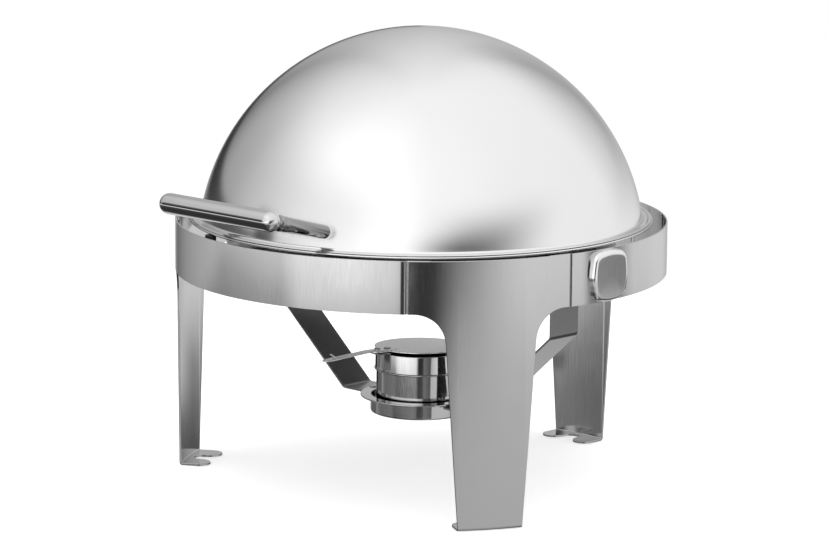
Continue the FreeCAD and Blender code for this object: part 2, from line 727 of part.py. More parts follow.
def build_fuel_cup():
    r_in = CUP_R - CUP_T
    low = DISH_BOTTOM + DISH_T + PAN_REST_GAP
    cup = spun(chain([
        (0, low), (CUP_R, low), (CUP_R, CUP_TOP), (r_in, CUP_TOP),
        (r_in, low + CUP_T), (0, low + CUP_T)]))
    base = [e for e in cup.Edges if e.BoundBox.ZMax < low + 0.01 and e.Length > 200]
    save("burner_cup", cup.makeFillet(DISH_FOOT_R, base))

    top_t = COLLAR_TOP - 1.0
    collar = spun(chain([
        (CUP_R, COLLAR_BOTTOM), (COLLAR_R, COLLAR_BOTTOM), (COLLAR_R, COLLAR_TOP),
        (COLLAR_MOUTH_R, COLLAR_TOP), (COLLAR_MOUTH_R, top_t), (CUP_R, top_t)]))
    bead = Part.makeTorus(COLLAR_R, COLLAR_BEAD_R, V(0, 0, COLLAR_BOTTOM + COLLAR_BEAD_R))
    bead = bead.cut(Part.makeCylinder(CUP_R, 60, V(0, 0, 90)))
    save("burner_collar", collar.fuse(bead).removeSplitter())
    clip = collar_clip()
    save("collar_clip", clip.cut(bead))

    x, y = DAMPER_PIVOT
    tab_low = CLIP_TOP - CLIP_T
    lever_top = lid_underside(x, y) + LID_T + LEVER_T
    shank = rod(DAMPER_PIN_R, V(x, y, tab_low - 1.2), V(x, y, lever_top + 1.6))
    foot = rod(PIN_FOOT_R, V(x, y, tab_low - 1.2), V(x, y, tab_low))
    head = rod(PIN_HEAD_R, V(x, y, lever_top + 0.3), V(x, y, lever_top + 1.6))
    save("damper_pin", shank.fuse([foot, head]).removeSplitter())


def tilt_way():
    """Level direction from the middle of the lid to its raised side."""
    return polar(1.0, LID_TILT_AZIMUTH)


def lid_underside(x, y):
    return LID_Z + V(x, y, 0).dot(tilt_way()) * math.tan(math.radians(LID_TILT_DEG))


def tilted(shape):
    """Tilt something drawn level on the lid along with the lid."""
    return shape.rotated(V(0, 0, LID_Z), tilt_way().cross(Z_AXIS), LID_TILT_DEG)


def lever(length):
    """Lever that points to -Y, its heel at the origin and its underside at z = 0."""
    half = LEVER_W / 2.0
    heel = Part.makeBox(LEVER_W, LEVER_BEND_AT, LEVER_T, V(-half, -LEVER_BEND_AT, 0))
    heel = heel.fuse(Part.makeCylinder(half, LEVER_T))
    blade = Part.makeBox(LEVER_W, length - LEVER_BEND_AT, LEVER_T, V(-half, -length, 0))
    tip = Part.makeCylinder(half, LEVER_T, V(0, -length, 0))
    base = WINDOW_AT - length
    window = Part.makeBox(WINDOW_W, WINDOW_L, 3 * LEVER_T, V(-WINDOW_W / 2.0, base, -LEVER_T))
    finger = Part.makeBox(FINGER_W, LEVER_T, FINGER_L, V(-FINGER_W / 2.0, base - LEVER_T, 0))
    finger = finger.rotated(V(0, base - LEVER_T, 0), X_AXIS, FINGER_LEAN_DEG)
    blade = blade.fuse(tip).cut(window).fuse(finger)
    blade = blade.rotated(V(0, -LEVER_BEND_AT, LEVER_T), X_AXIS, LEVER_DROP_DEG)
    return heel.fuse(blade)


def build_damper():
    x, y = DAMPER_PIVOT
    pin_hole = rod(DAMPER_HOLE_R, V(x, y, CLIP_LOW), V(x, y, LID_Z + 30))
    disc = Part.makeCylinder(LID_R, LID_T, V(0, 0, LID_Z))
    tongue = rod(TONGUE_R, V(x, y, LID_Z), V(x, y, LID_Z + LID_T))
    reach = math.hypot(x, y)
    link = Part.makeBox(2 * TONGUE_R, reach / 2.0, LID_T, V(-TONGUE_R, -reach, LID_Z))
    lid = disc.fuse([tongue, turned(link, clip_azimuth())])

    start = V(*LEVER_FROM, LID_Z + LID_T)
    way = V(*LEVER_TO, start.z) - start
    handle = lever(way.Length)
    handle = turned(handle, math.degrees(math.atan2(way.x, -way.y)))
    handle.translate(start)

    seat = start + way.normalize() * LEVER_RIVET_AT
    top = seat + Z_AXIS * LEVER_T
    hole = rod(RIVET_R, seat - Z_AXIS * 3, top + Z_AXIS * 3)
    shank = rod(RIVET_R, seat - Z_AXIS * LID_T, top + Z_AXIS * RIVET_HEAD_H)
    head = rod(RIVET_HEAD_R, top, top + Z_AXIS * RIVET_HEAD_H)
    save("damper_rivet", tilted(shank.fuse(head).removeSplitter()))
    save("damper_lid", tilted(lid.cut(hole)).cut(pin_hole).removeSplitter())
    save("damper_handle", tilted(handle.cut(hole)).cut(pin_hole).removeSplitter())


build_ring()
build_carrier()
build_pans()
build_dome()
build_pivots()
build_burner_mount()
build_fuel_cup()
build_damper()
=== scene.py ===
import json
import math

import bmesh
import bpy
from mathutils import Matrix, Vector


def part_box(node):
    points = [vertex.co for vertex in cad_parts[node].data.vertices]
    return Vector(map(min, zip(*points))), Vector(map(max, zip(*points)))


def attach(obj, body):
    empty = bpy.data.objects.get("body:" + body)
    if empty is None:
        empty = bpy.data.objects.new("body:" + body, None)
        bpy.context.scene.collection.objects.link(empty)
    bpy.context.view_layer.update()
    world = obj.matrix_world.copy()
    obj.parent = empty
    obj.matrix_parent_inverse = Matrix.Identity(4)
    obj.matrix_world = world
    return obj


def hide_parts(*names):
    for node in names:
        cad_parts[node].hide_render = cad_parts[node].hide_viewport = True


# Round roll-top chafing dish in polished steel.
# Meshes are drawn in millimetres in the frame of the CAD model and scaled once.

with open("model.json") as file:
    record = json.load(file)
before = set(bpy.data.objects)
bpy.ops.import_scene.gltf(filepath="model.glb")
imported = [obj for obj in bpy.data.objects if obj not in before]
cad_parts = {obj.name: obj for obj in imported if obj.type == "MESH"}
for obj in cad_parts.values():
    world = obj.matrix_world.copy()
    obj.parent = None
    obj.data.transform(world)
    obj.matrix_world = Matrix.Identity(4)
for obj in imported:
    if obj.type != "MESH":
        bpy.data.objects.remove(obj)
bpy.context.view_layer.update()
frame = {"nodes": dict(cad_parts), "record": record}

MM = 0.001
SIDES = {"right": 1, "left": -1}


def low(node):
    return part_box(node)[0] / MM


def high(node):
    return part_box(node)[1] / MM


# ---- measures read from the frame ------------------------------------------
RING_R = -low("band_front").y
RING_TOP = high("band_front").z
RING_LOW = low("band_front").z
WING_HALF = high("leg_rear").x
DOME_TOP = high("dome_shell").z
FLANGE_OUT = high("dome_rim").x
CAP_LOW = low("pivot_cap_right")
CAP_HIGH = high("pivot_cap_right")
GRIP_R = (high("handle_grip").z - low("handle_grip").z) / 2
GRIP_Z = low("handle_grip").z + GRIP_R
GRIP_Y = low("handle_grip").y + GRIP_R
GRIP_HALF = high("handle_grip").x - GRIP_R
CARRIER_TOP = high("pan_carrier_ring").z
CARRIER_LOW = low("pan_carrier_ring").z
CARRIER_LIP_R = high("pan_carrier_ring").x
FOOD_LOW = low("food_pan").z
FOOD_TOP = high("food_pan").z
WATER_LOW = low("water_pan").z
WATER_RIM_Z = high("water_pan").z
WATER_RIM_R = high("water_pan").x
DISH_TOP = high("holder_dish").z
DISH_LOW = low("holder_dish").z
DISH_OUT = high("holder_dish").x
CUP_LOW = low("burner_cup").z
CUP_TOP = high("burner_cup").z
CUP_R = high("burner_cup").x
COLLAR_TOP = high("burner_collar").z
COLLAR_LOW = low("burner_collar").z
LID_R = high("damper_lid").y
BUMPER_TOP = high("lid_bumper_left").z

# Sheet thicknesses and profile sizes. Most repeat the CAD parts; FOOT_BEND is tighter than theirs.
BAND_T = 1.5
PLATE_T = 2.0
LEG_AZIMUTHS = {"front_right": 60.0, "front_left": -60.0, "rear": 180.0}
BAND_AZIMUTHS = {"front": 0.0, "right": 120.0, "left": -120.0}
LEG_HALF_TOP = 44.8
LEG_HALF_FOOT = 31.0
WEB_FILLET = 29.0
FOOT_BEND = 2.8
TOE_AT = 216.0
TOE_R = 11.0
NOTCH_R = 9.0
NOTCH_IN = 2.0
SEAM_DEG = 0.7
LAP_DEG = 5.0
TIGHT_STEP_DEG = 0.14
SOFT_STEP_DEG = 0.45
DOME_R = DOME_TOP - 220.0
DOME_Z = 220.0
DOME_T = 1.0
NECK_R = 2.8
FLANGE_T = 1.0
ROLL_R = 1.0
BEAD_R0 = 215.8
BEAD_R1 = 220.2
BEAD_RISE = 0.9
CARRIER_R = 186.0
CARRIER_T = 1.5
WATER_R = 172.0
FOOD_R = 168.0
PAN_T = 0.8
PAN_CORNER = 22.0
FOOD_BEAD_R = 1.6
BRIDGE_AZIMUTH = 19.5
BRIDGE_TOP = 231.0
BRIDGE_LOW = 212.0
BRIDGE_HALF_W = 15.0
BRIDGE_T = 2.0
BRIDGE_BEND = 1.5
BUMPER_AT_R = 220.0
STRAP_PATH = ((183.5, 245.0), (183.5, 162.5), (85.0, 75.5), (48.8, 75.5))
STRAP_T = 2.0
STRAP_BEND = 5.0
STRAP_HALF_W = 19.0
DISH_R = 47.8
DISH_FLANGE_T = 1.5
CUP_T = 0.8
COLLAR_T = 1.0
COLLAR_FIT = 0.05
COLLAR_R = 43.2
COLLAR_BEAD_R = 1.1
MOUTH_R = 36.0
ARM_DROP_DEG = 14.5
ARM_R_GRIP = 7.3
ARM_R_DOME = 6.5
ARM_NECK_R = 5.9
ARM_COLLAR_R = 7.5
CAP_CORNER = 11.0
CAP_BULGE = 1.2
CAP_BEVEL = 3.8
CAP_CROWN = 0.12
LID_Z = 125.0
LID_T = 1.0
LID_TILT_DEG = 1.8
LID_TILT_AZIMUTH = 44.0
TONGUE_R = 9.0
TONGUE_SPAN_DEG = 12.0
DAMPER_PIVOT = Vector((-8.0, -51.0, 0.0))
LEVER_FROM = Vector((-4.5, -34.0, 0.0))
LEVER_TO = Vector((-16.0, -109.5, 0.0))
LEVER_W = 11.0
LEVER_T = 1.0
LEVER_T_SHARE = 0.96
LEVER_BEND_AT = 28.0
LEVER_DROP_DEG = 4.8
LEVER_RIVET_AT = 6.0
WINDOW_AT = 9.5
WINDOW_W = 5.0
WINDOW_L = 9.0
FINGER_W = 3.5
FINGER_L = 8.0
FINGER_LEAN_DEG = 45.0
FINGER_PAST = 0.7
CLIP_W = 19.0
CLIP_T = 1.2
CLIP_LOW = 108.0
CLIP_TOP = 125.3
CLIP_PAST_PIN = 5.5
RIVET_R = 2.0
RIVET_HEAD_R = 3.5
RIVET_HEAD_H = 1.2
PIN_HEAD_R = 3.2
SCREW_R = 2.5
SCREW_HEAD_R = 4.6
SCREW_HEAD_H = 3.0
SCREW_IN_ARM = 18.0
SADDLE_T = 4.2


# ---- materials --------------------------------------------------------------
GRAIN_DEPTH = 0.0002         # metres
WAVE_DEPTH = 0.002


def noise(tree, where, scale, detail=3.0):
    made = tree.nodes.new("ShaderNodeTexNoise")
    made.inputs["Scale"].default_value = scale
    made.inputs["Detail"].default_value = detail
    tree.links.new(where, made.inputs["Vector"])
    return made.outputs["Fac"]


def ranged(tree, value, lo, hi, to_lo, to_hi, smooth=False):
    made = tree.nodes.new("ShaderNodeMapRange")
    if smooth:
        made.interpolation_type = "SMOOTHSTEP"
    for name, level in (("From Min", lo), ("From Max", hi), ("To Min", to_lo), ("To Max", to_hi)):
        if isinstance(level, (int, float)):
            made.inputs[name].default_value = level
        else:
            tree.links.new(level, made.inputs[name])
    tree.links.new(value, made.inputs["Value"])
    return made.outputs["Result"]


def math_op(tree, kind, *inputs):
    made = tree.nodes.new("ShaderNodeMath")
    made.operation = kind
    for i, value in enumerate(inputs):
        if isinstance(value, (int, float)):
            made.inputs[i].default_value = value
        else:
            tree.links.new(value, made.inputs[i])
    return made.outputs[0]


def two_tones(tree, value, dark, light, lo=0.0, hi=1.0):
    """Colour that runs from dark at lo to light at hi."""
    ramp = tree.nodes.new("ShaderNodeValToRGB")
    for mark, place, tone in zip(ramp.color_ramp.elements, (lo, hi), (dark, light)):
        mark.position = place
        mark.color = (*tone, 1)
    tree.links.new(value, ramp.inputs["Fac"])
    return ramp.outputs["Color"]


def relief(tree, height, strength, distance):
    made = tree.nodes.new("ShaderNodeBump")
    made.inputs["Strength"].default_value = strength
    made.inputs["Distance"].default_value = distance
    tree.links.new(height, made.inputs["Height"])
    return made


def new_material(name):
    made = bpy.data.materials.new(name)
    made.use_nodes = True
    tree = made.node_tree
    shader = next(n for n in tree.nodes if n.type == "BSDF_PRINCIPLED")
    return made, tree, shader


def steel(name, level, rough, rough_spread=0.04, stretch=(1, 1, 1), grain=900.0,
          bump=0.02, waves=0.0, smudge=0.05):
    """Stainless steel: faint smudges, uneven polish, fine grain and, with waves, a slight ripple."""
    made, tree, shader = new_material(name)
    shader.inputs["Metallic"].default_value = 1.0
    place = tree.nodes.new("ShaderNodeTexCoord").outputs["Object"]
    mapping = tree.nodes.new("ShaderNodeMapping")
    mapping.inputs["Scale"].default_value = stretch
    tree.links.new(place, mapping.inputs["Vector"])
    fine = noise(tree, mapping.outputs["Vector"], grain, 2.0)
    broad = noise(tree, place, 9.0, 3.0)
    rough_fine = ranged(tree, fine, 0.3, 0.7, rough - rough_spread / 2, rough + rough_spread / 2)
    rough_broad = ranged(tree, broad, 0.35, 0.65, -rough_spread / 2, rough_spread / 2)
    tree.links.new(math_op(tree, "ADD", rough_fine, rough_broad), shader.inputs["Roughness"])
    smudged = level * (1.0 - smudge)
    colour = two_tones(tree, broad, (smudged,) * 3, (level,) * 3, 0.35, 0.65)
    tree.links.new(colour, shader.inputs["Base Color"])
    polish = relief(tree, fine, bump, GRAIN_DEPTH)
    if waves:
        swell = relief(tree, noise(tree, place, 14.0, 1.0), waves, WAVE_DEPTH)
        tree.links.new(swell.outputs["Normal"], polish.inputs["Normal"])
    tree.links.new(polish.outputs["Normal"], shader.inputs["Normal"])
    return made


def rubber(name):
    made, tree, shader = new_material(name)
    place = tree.nodes.new("ShaderNodeTexCoord").outputs["Object"]
    fine = noise(tree, place, 1400.0, 4.0)
    colour = two_tones(tree, fine, (0.010, 0.010, 0.011), (0.022, 0.022, 0.023))
    tree.links.new(colour, shader.inputs["Base Color"])
    tree.links.new(ranged(tree, fine, 0.3, 0.7, 0.5, 0.68), shader.inputs["Roughness"])
    moulded = relief(tree, fine, 0.25, GRAIN_DEPTH)
    tree.links.new(moulded.outputs["Normal"], shader.inputs["Normal"])
    return made


MATERIALS = {
    "dome_steel": steel("dome_steel", 0.80, 0.16, 0.03, grain=700.0, bump=0.01, smudge=0.02),
    "frame_steel": steel("frame_steel", 0.56, 0.10, 0.03, (1, 1, 0.06), bump=0.03, waves=0.02,
                         smudge=0.04),
    "handle_chrome": steel("handle_chrome", 0.66, 0.06, 0.02, bump=0.01),
    # the arms' chrome is the grip's chrome made darker (level 0.34): painted shade standing in for
    # the dark reflections on the arms
    "arm_chrome_painted_shade": steel("arm_chrome_painted_shade", 0.34, 0.07, 0.02, bump=0.01),
    "cap_chrome": steel("cap_chrome", 0.80, 0.09, 0.03, (1, 1, 0.1), waves=0.12),
    "black_rubber": rubber("black_rubber"),
    "pan_steel": steel("pan_steel", 0.50, 0.25, 0.05, grain=600.0, bump=0.04),
    "burner_steel": steel("burner_steel", 0.62, 0.09, 0.03, (1, 1, 0.08), bump=0.03, waves=0.04),
    # straps: level lowered to 0.33, painted shade for the shaded underside of the pan that they
    # reflect
    "strap_steel": steel("strap_steel", 0.33, 0.22, 0.05, (1, 0.08, 1), bump=0.05),
    "inner_steel": steel("inner_steel", 0.50, 0.22, 0.05, grain=700.0, bump=0.04),
    # lid and lever: the burner steel made brighter (level 0.98), painted light for their pale tops
    "lid_steel_painted_light": steel("lid_steel_painted_light", 0.98, 0.30, 0.05, bump=0.04),
    "hardware_steel": steel("hardware_steel", 0.60, 0.16, 0.05, bump=0.03),
}


# ---- mesh helpers -----------------------------------------------------------
def spread(lo, hi, steps):
    return [lo + (hi - lo) * k / steps for k in range(steps + 1)]


def mesh_object(name, loops, ring=False, capped=True, crease=32.0, bevel=0.0):
    """Skin equal closed loops of points; ring joins the last loop to the first."""
    verts = [Vector(p) * MM for loop in loops for p in loop]
    n = len(loops[0])
    faces = []
    spans = range(len(loops)) if ring else range(len(loops) - 1)
    for i in spans:
        j = (i + 1) % len(loops)
        for k in range(n):
            m = (k + 1) % n
            faces.append((i * n + k, i * n + m, j * n + m, j * n + k))
    if capped and not ring:
        faces.append(tuple(range(n)))
        faces.append(tuple((len(loops) - 1) * n + k for k in range(n)))
    return finished(name, verts, faces, crease, bevel)


def finished(name, verts, faces, crease=32.0, bevel=0.0):
    """A smooth-shaded object with sharp creases, from points in metres."""
    mesh = bpy.data.meshes.new(name)
    mesh.from_pydata(verts, [], faces)
    work = bmesh.new()
    work.from_mesh(mesh)
    bmesh.ops.remove_doubles(work, verts=work.verts, dist=1e-7)
    bmesh.ops.dissolve_degenerate(work, edges=work.edges, dist=1e-7)
    bmesh.ops.recalc_face_normals(work, faces=work.faces)
    work.to_mesh(mesh)
    work.free()
    mesh.polygons.foreach_set("use_smooth", [True] * len(mesh.polygons))
    mesh.set_sharp_from_angle(angle=math.radians(crease))
    obj = bpy.data.objects.new(name, mesh)
    bpy.context.scene.collection.objects.link(obj)
    if bevel:
        soften_edges(obj, bevel).harden_normals = True
    return obj


def soften_edges(obj, width):
    edge = obj.modifiers.new("edge", "BEVEL")
    edge.width = width * MM
    edge.segments = 2
    edge.limit_method = "ANGLE"
    edge.angle_limit = math.radians(50)
    return edge


def piece(obj, body, slot, *nodes, look=None):
    """Finish a piece: its material, the body it rides on and the CAD nodes it stands for."""
    obj.data.materials.clear()
    obj.data.materials.append(MATERIALS[look or slot])
    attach(obj, body)
    if nodes:
        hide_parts(*nodes)
    return obj


def rounded(corners, steps=4):
    """Polygon of (a, b, radius) corners with each corner turned into an arc."""
    out = []
    count = len(corners)
    for i, (a, b, radius) in enumerate(corners):
        here = Vector((a, b))
        if radius <= 0:
            out.append(tuple(here))
            continue
        before = (Vector(corners[i - 1][:2]) - here).normalized()
        after = (Vector(corners[(i + 1) % count][:2]) - here).normalized()
        half = before.angle(after) / 2
        centre = here + (before + after).normalized() * (radius / math.sin(half))
        start = here + before * (radius / math.tan(half)) - centre
        turn = start.angle_signed(here + after * (radius / math.tan(half)) - centre)
        for k in range(steps + 1):
            spun = start.copy()
            spun.rotate(Matrix.Rotation(-turn * k / steps, 2))
            out.append(tuple(centre + spun))
    return out


def arc(centre, radius, deg0, deg1, steps):
    out = []
    for k in range(steps + 1):
        a = math.radians(deg0 + (deg1 - deg0) * k / steps)
        out.append((centre[0] + radius * math.cos(a), centre[1] + radius * math.sin(a)))
    return out


def lathe(name, profile, steps=192, centre=(0.0, 0.0)):
    """Closed profile of (r, z) points turned about a vertical axis."""
    loops = []
    for a in spread(0, 2 * math.pi, steps)[:-1]:
        c, s = math.cos(a), math.sin(a)
        loops.append([(centre[0] + r * c, centre[1] + r * s, z) for r, z in profile])
    obj = mesh_object(name, loops, ring=True)
    walls = obj.modifiers.new("flat_walls", "WEIGHTED_NORMAL")
    walls.keep_sharp = True
    return obj


def spokes(way, steps=48):
    """Unit vectors square to a direction, once round it."""
    side = way.orthogonal().normalized()
    other = way.cross(side)
    return [side * math.cos(a) + other * math.sin(a) for a in spread(0, 2 * math.pi, steps)[:-1]]


def along(name, stations, start, way, steps=48, crease=32.0):
    """Rod of (distance, radius) stations along a direction."""
    loops = []
    for distance, radius in stations:
        at = start + way * distance
        loops.append([at + spoke * radius for spoke in spokes(way, steps)])
    return mesh_object(name, loops, crease=crease)


def on_cylinder(x, r):
    """Depth at which a vertical plane at x meets a cylinder on the -Y side."""
    return -math.sqrt(r * r - x * x)


def turned(points, azimuth):
    spin = Matrix.Rotation(math.radians(azimuth), 3, "Z")
    return [spin @ Vector(p) for p in points]


# ---- legs -------------------------------------------------------------------
def leg_underside():
    """Half outline of a leg plate: columns of (x, lowest z) from the foot to the wing tip."""
    drop = Vector((LEG_HALF_FOOT - LEG_HALF_TOP, FOOT_BEND - RING_LOW)).normalized()
    half = math.acos(drop.x) / 2
    run = WEB_FILLET / math.tan(half)
    centre = (LEG_HALF_TOP + run, RING_LOW - WEB_FILLET)
    touch = Vector((LEG_HALF_TOP, RING_LOW)) + drop * run
    first = math.degrees(math.atan2(touch.y - centre[1], touch.x - centre[0])) % 360
    columns = []
    slope = (touch.y - FOOT_BEND) / (touch.x - LEG_HALF_FOOT)
    for x in spread(LEG_HALF_FOOT, touch.x, 6)[1:-1]:
        columns.append((x, FOOT_BEND + (x - LEG_HALF_FOOT) * slope))
    columns += arc(centre, WEB_FILLET, first, 90.0, 18)
    columns.append((WING_HALF, RING_LOW))
    return columns


def toe_end(x):
    """How far in a foot reaches at x, as a distance from the dish's axis plane."""
    x = abs(x)
    if x < NOTCH_R - 0.2:
        return TOE_AT + NOTCH_IN + math.sqrt(NOTCH_R ** 2 - x ** 2)
    return TOE_AT - math.sqrt(max(0.0, TOE_R ** 2 - (x - LEG_HALF_FOOT + TOE_R) ** 2))


def leg_plate(name, azimuth):
    """Two skins on vertical columns, carried round the bend and along the foot."""
    notch = [NOTCH_R * math.sin(math.radians(a)) for a in (0, 15, 30, 45, 58, 70)]
    toe_mid = LEG_HALF_FOOT - TOE_R
    toes = [toe_mid - TOE_R * math.cos(math.radians(a)) for a in spread(0, 180, 12)]
    foot = [(x, None) for x in notch + toes]
    half = foot + leg_underside()
    columns = [(-x, z) for x, z in reversed(half[1:])] + half
    verts = []
    faces = []

    def add(x, rho, z):
        verts.append(Vector((x, on_cylinder(x, rho), z)))
        return len(verts) - 1

    rows = []
    for x, lowest in columns:
        skins = []
        for r, bend in ((RING_R, FOOT_BEND), (RING_R - PLATE_T, FOOT_BEND - PLATE_T)):
            if lowest is not None:
                skins.append([add(x, r, z) for z in (RING_TOP, lowest)])
                continue
            path = [(r, RING_TOP), (r, FOOT_BEND)]
            path += arc((RING_R - FOOT_BEND, FOOT_BEND), bend, -1.5, -90, 6)
            end = math.hypot(toe_end(x), x)
            path.append((end, path[-1][1]))
            skins.append([add(x, rho, z) for rho, z in path])
        rows.append(skins)
    for here, after in zip(rows, rows[1:]):
        shared = min(len(here[0]), len(after[0]))
        for skin in (0, 1):
            for k in range(shared - 1):
                faces.append((here[skin][k], after[skin][k], after[skin][k + 1], here[skin][k + 1]))
        last = shared - 1
        faces.append((here[0][0], after[0][0], after[1][0], here[1][0]))
        faces.append((here[0][last], after[0][last], after[1][last], here[1][last]))
        for longer, shorter in ((here, after), (after, here)):
            if len(longer[0]) > len(shorter[0]):
                for k in range(last, len(longer[0]) - 1):
                    faces.append((longer[0][k], longer[0][k + 1], longer[1][k + 1], longer[1][k]))
    for row in (rows[0], rows[-1]):
        faces.append((row[0][0], row[0][1], row[1][1], row[1][0]))
    verts = [v * MM for v in turned(verts, azimuth)]
    return finished(name, verts, faces, crease=32.0, bevel=0.35)


for place, azimuth in LEG_AZIMUTHS.items():
    piece(leg_plate("leg_plate_" + place, azimuth), "frame", "frame_steel", "leg_" + place)


# ---- ring bands -------------------------------------------------------------
def band_mesh(name, azimuth):
    """Band whose ends step in behind the leg plates, one on a tight joggle and one on a soft one."""
    half_span = 60.0 - math.degrees(math.asin(WING_HALF / RING_R))
    face_end = half_span - SEAM_DEG
    stations = [(a, 0.0) for a in spread(-face_end, face_end, 80)]
    ends = {}
    for side, step in ((-1, TIGHT_STEP_DEG), (1, SOFT_STEP_DEG)):
        ends[side] = []
        for t in spread(0, 1, 8)[1:]:
            ends[side].append((side * (face_end + step * t), t * t * (3 - 2 * t)))
        ends[side].append((side * (half_span + LAP_DEG), 1.0))
    stations = ends[-1][::-1] + stations + ends[1]
    loops = []
    for a, t in stations:
        out = RING_R - PLATE_T * t
        back = out - BAND_T
        angle = math.radians(azimuth + a)
        corners = ((out, RING_LOW), (out, RING_TOP), (back, RING_TOP), (back, RING_LOW))
        loops.append([(r * math.sin(angle), -r * math.cos(angle), z) for r, z in corners])
    return mesh_object(name, loops, bevel=0.35)


for place, azimuth in BAND_AZIMUTHS.items():
    piece(band_mesh("ring_band_" + place, azimuth), "frame", "frame_steel", "band_" + place)


# ---- pan carrier, bridges and lid rests -------------------------------------
r_in = CARRIER_R - CARRIER_T
lip = CARRIER_TOP - CARRIER_T
carrier = rounded([
    (r_in, CARRIER_LOW, 0.5), (CARRIER_R, CARRIER_LOW, 0.5), (CARRIER_R, lip, 0.3),
    (CARRIER_LIP_R, lip, 0.5), (CARRIER_LIP_R, CARRIER_TOP, 0.5), (r_in, CARRIER_TOP, 0.7)])
piece(lathe("carrier_ring", carrier), "frame", "inner_steel", "pan_carrier_ring")


def bent_section(points, thickness, radius):
    """Closed section of a strip bent along (a, b) points, which are its left face."""
    inner = []
    for i, here in enumerate(points):
        normals = []
        for a, b in ((i - 1, i), (i, i + 1)):
            if a >= 0 and b < len(points):
                run = (Vector(points[b]) - Vector(points[a])).normalized()
                normals.append(Vector((run.y, -run.x)))
        normal = sum(normals, Vector((0, 0))) / len(normals)
        inner.append(Vector(here) + normal * thickness / normal.length_squared)
    last = len(points) - 1
    corners = []
    for side, chain in (("face", points), ("back", inner)):
        for i, p in enumerate(chain):
            bend = 0.0
            if 0 < i < last:
                before = Vector(points[i]) - Vector(points[i - 1])
                after = Vector(points[i + 1]) - Vector(points[i])
                turns_right = before.cross(after) < 0
                outside = turns_right == (side == "face")
                bend = radius + (thickness if outside else 0.0)
            corners.append((p[0], p[1], bend))
    face, back = corners[:last + 1], corners[last + 1:]
    return rounded(face + back[::-1], 5)


def bridge_strip(name, azimuth):
    ring_in = RING_R - BAND_T
    path = [(CARRIER_R, CARRIER_LOW + 1), (CARRIER_R, BRIDGE_TOP), (ring_in, BRIDGE_TOP),
            (ring_in, BRIDGE_LOW)]
    section = bent_section(path, BRIDGE_T, BRIDGE_BEND)
    loops = []
    for x in spread(-BRIDGE_HALF_W, BRIDGE_HALF_W, 8):
        loop = [(x, on_cylinder(x, r), z) for r, z in section]
        loops.append(turned(loop, azimuth))
    return mesh_object(name, loops, bevel=0.4)


def lid_rest(name, azimuth):
    """Rubber button with a domed edge, a moulded step and a stem."""
    under = BRIDGE_TOP - BRIDGE_T
    profile = rounded([
        (0.0, under - 3.0, 0), (3.6, under - 3.0, 0.8), (3.6, under, 0), (2.5, under, 0),
        (2.5, BRIDGE_TOP, 0), (5.5, BRIDGE_TOP, 0.6), (5.5, BRIDGE_TOP + 3, 0.4),
        (5.0, BRIDGE_TOP + 4, 0.6), (5.3, BUMPER_TOP, 1.6), (0.0, BUMPER_TOP, 0)])
    at = turned([(0, -BUMPER_AT_R, 0)], azimuth)[0]
    return lathe(name, profile, 48, centre=(at.x, at.y))


for place, side in SIDES.items():
    azimuth = side * BRIDGE_AZIMUTH
    piece(bridge_strip("bridge_strip_" + place, azimuth), "frame", "inner_steel", "bridge_" + place)
    piece(lid_rest("lid_rest_" + place, azimuth), "frame", "black_rubber", "lid_bumper_" + place)


# ---- pans -------------------------------------------------------------------
def pan_profile(radius, bottom, rim_r, rim_z, bead=0.0):
    inner = radius - PAN_T
    rim = [(rim_r, rim_z, 0.3), (rim_r, rim_z + PAN_T, 0.3)]
    if bead:
        curl = arc((rim_r, rim_z + bead), bead, -90, 160, 12)
        rim = [(r, z, 0) for r, z in curl]
    corners = [(0, bottom, 0), (radius, bottom, PAN_CORNER), (radius, rim_z, 0.6)]
    corners += rim
    corners += [(inner, rim_z + PAN_T, 1.4), (inner, bottom + PAN_T, PAN_CORNER - PAN_T),
                (0, bottom + PAN_T, 0)]
    return rounded(corners, 10)


water_rim = WATER_RIM_Z - PAN_T
piece(lathe("water_pan_shell", pan_profile(WATER_R, WATER_LOW, WATER_RIM_R, water_rim)),
      "water_pan", "pan_steel", "water_pan")
food_rim = FOOD_TOP - 2 * FOOD_BEAD_R
food_rim_r = high("food_pan").x - FOOD_BEAD_R
piece(lathe("food_pan_shell", pan_profile(FOOD_R, FOOD_LOW, food_rim_r, food_rim, FOOD_BEAD_R)),
      "food_pan", "pan_steel", "food_pan")


# ---- dome -------------------------------------------------------------------
def dome_profile():
    flange = high("dome_rim").z + FLANGE_T
    neck_z = flange + NECK_R
    neck_r = math.sqrt((DOME_R + NECK_R) ** 2 - (neck_z - DOME_Z) ** 2)
    meet = math.degrees(math.atan2(neck_z - DOME_Z, neck_r))
    under = flange - FLANGE_T
    profile = arc((0, DOME_Z), DOME_R, 90, meet, 96)
    profile += arc((neck_r, neck_z), NECK_R, 180 + meet, 270, 8)[1:]
    for t in spread(-1, 1, 10):
        r = (BEAD_R0 + BEAD_R1) / 2 + t * (BEAD_R1 - BEAD_R0) / 2
        profile.append((r, flange + BEAD_RISE * (1 - t * t)))
    profile += [(BEAD_R1, under), (neck_r, under)]
    profile += arc((neck_r, neck_z), NECK_R + DOME_T, 270, 180 + meet, 8)[1:]
    profile += arc((0, DOME_Z), DOME_R - DOME_T, meet, 90, 64)[1:]
    return profile


piece(lathe("dome_cover", dome_profile(), 288), "dome", "dome_steel", "dome_shell")

rim_top = high("dome_rim").z
rim_in = BEAD_R0 + 0.6
rim = [(rim_in, rim_top)] + arc((FLANGE_OUT - ROLL_R, rim_top - ROLL_R), ROLL_R, 90, -180, 20)
rim += [(rim_in, rim_top - ROLL_R)]
piece(lathe("dome_rolled_edge", rim, 288), "dome", "dome_steel", "dome_rim")


